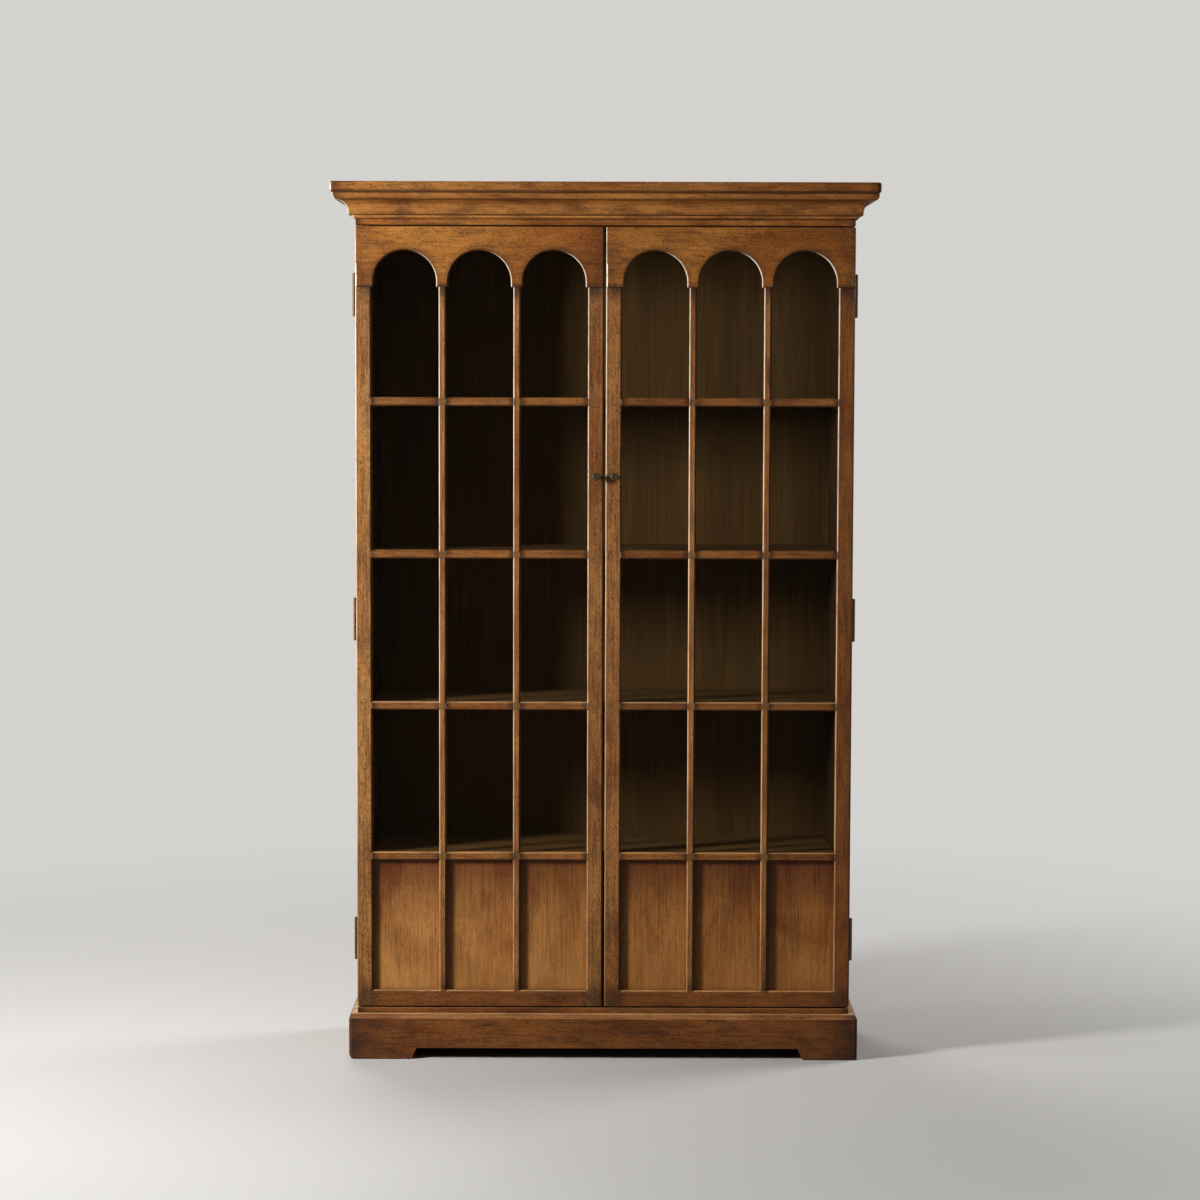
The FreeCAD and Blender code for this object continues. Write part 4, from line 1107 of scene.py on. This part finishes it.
def newTree(name, values):
    tree = bpy.data.node_groups.new(name, "GeometryNodeTree")
    kinds = {"places": "Geometry", "length": "Float", "finish": "Material"}
    kinds.update({key: "Int" if isinstance(value, int) else "Float" for key, value in values.items()})
    for key, kind in kinds.items():
        tree.interface.new_socket(key, in_out="INPUT", socket_type="NodeSocket" + kind)
    tree.interface.new_socket("result", in_out="OUTPUT", socket_type="NodeSocketGeometry")
    return tree, addNode(tree, "NodeGroupInput").outputs


def setOnPlaces(tree, given, shape):
    # one shape on every place, its own Z turned along the place's drive
    drive = addNode(tree, "GeometryNodeInputNamedAttribute", {"Name": "drive"}, data_type="FLOAT_VECTOR")
    turn = addNode(tree, "FunctionNodeAlignRotationToVector", {"Vector": drive.outputs[0]}, axis="Z")
    points = addNode(tree, "GeometryNodeMeshToPoints", {"Mesh": given["places"]})
    placed = addNode(tree, "GeometryNodeInstanceOnPoints", {
        "Points": points.outputs[0], "Instance": shape, "Rotation": turn.outputs[0]})
    real = addNode(tree, "GeometryNodeRealizeInstances", {"Geometry": placed.outputs[0]})
    coated = addNode(tree, "GeometryNodeSetMaterial", {"Geometry": real.outputs[0], "Material": given["finish"]})
    addNode(tree, "NodeGroupOutput", {0: coated.outputs[0]})
    return tree


def screwTree():
    # a screw that points up its own Z, its head face at zero
    tree, given = newTree("setScrews", screwLook)

    def cone(bottom, top, depth, fill):
        return addNode(tree, "GeometryNodeMeshCone", {
            "Vertices": given["sides"], "Radius Bottom": given[bottom], "Radius Top": given[top],
            "Depth": depth}, fill_type=fill).outputs

    def opened(shape, end):
        return addNode(tree, "GeometryNodeDeleteGeometry", {"Geometry": shape["Mesh"], "Selection": shape[end]},
                       domain="FACE").outputs[0]

    def raised(mesh, height):
        return addNode(tree, "GeometryNodeTransform", {
            "Geometry": mesh, "Translation": joined(tree, {2: height})}).outputs[0]

    headHeight, tipHeight = given["headHeight"], given["tipHeight"]
    straight = less(tree, less(tree, given["length"], headHeight), tipHeight)
    head = opened(cone("headRadius", "shankRadius", headHeight, "NGON"), "Top")
    shank = raised(cone("shankRadius", "shankRadius", straight, "NONE")["Mesh"], headHeight)
    tip = raised(opened(cone("shankRadius", "tipRadius", tipHeight, "NGON"), "Bottom"),
                 calc(tree, "ADD", headHeight, straight))
    body = addNode(tree, "GeometryNodeJoinGeometry")
    for part in (head, shank, tip):
        tree.links.new(part, body.inputs[0])
    body = addNode(tree, "GeometryNodeMergeByDistance", {"Geometry": body.outputs[0], "Distance": 1e-5})
    slotSize = joined(tree, {0: times(tree, given["headRadius"], 2.2), 1: given["slotWidth"],
                             2: times(tree, given["slotDepth"], 2.0)})
    slot = addNode(tree, "GeometryNodeMeshCube", {"Size": slotSize})
    cut = addNode(tree, "GeometryNodeMeshBoolean", {"Mesh 1": body.outputs[0], "Mesh 2": slot.outputs["Mesh"]},
                  operation="DIFFERENCE", solver="EXACT")
    return setOnPlaces(tree, given, cut.outputs[0])


def pegTree():
    # a straight line whose radius is drawn in at both ends, made a tube
    tree, given = newTree("setPegs", {**pegLook, "radius": 0.0})
    length, rounding = given["length"], given["rounding"]
    line = addNode(tree, "GeometryNodeCurvePrimitiveLine", {"End": joined(tree, {2: length})})
    fine = addNode(tree, "GeometryNodeResampleCurve", {"Curve": line.outputs[0], "Count": given["steps"]})
    place = times(tree, addNode(tree, "GeometryNodeSplineParameter").outputs["Factor"], length)
    fromEnd = calc(tree, "MINIMUM", place, less(tree, length, place))
    drawn = calc(tree, "MINIMUM", calc(tree, "DIVIDE", fromEnd, rounding), 1.0)
    radius = less(tree, given["radius"], times(tree, rounding, less(tree, 1.0, drawn)))
    ring = addNode(tree, "GeometryNodeCurvePrimitiveCircle", {"Resolution": given["sides"], "Radius": 1.0})
    tube = addNode(tree, "GeometryNodeCurveToMesh", {
        "Curve": fine.outputs[0], "Profile Curve": ring.outputs["Curve"], "Scale": radius, "Fill Caps": True})
    return setOnPlaces(tree, given, tube.outputs[0])


def setByNodes(nodeName, places, tree, values, look):
    # runs the tree on its places, keeps its result as a plain mesh and drops the modifier
    mesh = bpy.data.meshes.new(nodeName + "_places")
    mesh.from_pydata([start for start, _ in places], [], [])
    setVectors(mesh, "drive", [drive for _, drive in places])
    piece = addObject(nodeName + "_set", mesh)
    modifier = piece.modifiers.new("set", "NODES")
    modifier.node_group = tree
    values = {**values, "finish": metal[look]}
    for item in tree.interface.items_tree:
        if item.in_out == "INPUT" and item.name in values:
            modifier[item.identifier] = values[item.name]
    bpy.context.view_layer.update()
    mesh = bpy.data.meshes.new_from_object(piece.evaluated_get(bpy.context.evaluated_depsgraph_get()))
    piece.modifiers.clear()
    piece.data = mesh
    for face in mesh.polygons:
        face.use_smooth = False
    settle(piece, nodeName)
    print(nodeName, len(places), "set,", len(mesh.polygons), "faces")


def screwPlaces(nodeName):
    # a screw's axis is the longest side of its box, and its head is at the thick end
    shape = mergedShape(nodeName)
    places, lengths = [], []
    for group in islandsOf(shape):
        low, high = boxOf(group)
        size, middle = high - low, (low + high) / 2
        axis = max(range(3), key=lambda index: size[index])
        cross = (axis + 1) % 3
        wide = [vert for vert in group if abs(vert.co[cross] - middle[cross]) > size[cross] * 0.4]
        headAtLow = sum(vert.co[axis] for vert in wide) / len(wide) < middle[axis]
        drive, start = Vector((0, 0, 0)), middle.copy()
        drive[axis] = 1.0 if headAtLow else -1.0
        start[axis] = low[axis] if headAtLow else high[axis]
        places.append((start, drive))
        lengths.append(size[axis])
    shape.free()
    return places, lengths[0]


screws = screwTree()
for nodeName, look in {"case_screws": "steel", "case_hinge_screws": "iron", "left_door_hinge_screws": "iron",
                       "right_door_hinge_screws": "iron"}.items():
    places, length = screwPlaces(nodeName)
    setByNodes(nodeName, places, screws, {**screwLook, "length": length}, look)

pegBoxes = islandBoxes("shelf_pegs")
pegPlaces = []
for low, high in pegBoxes:
    middle = (low + high) / 2
    pegPlaces.append((Vector((low.x, middle.y, middle.z)), Vector((1.0, 0.0, 0.0))))
pegSize = pegBoxes[0][1] - pegBoxes[0][0]
setByNodes("shelf_pegs", pegPlaces, pegTree(), {**pegLook, "length": pegSize.x, "radius": pegSize.z / 2}, "bronze")
print("screws and pegs set")

bpy.context.scene.view_settings.view_transform = "Standard"
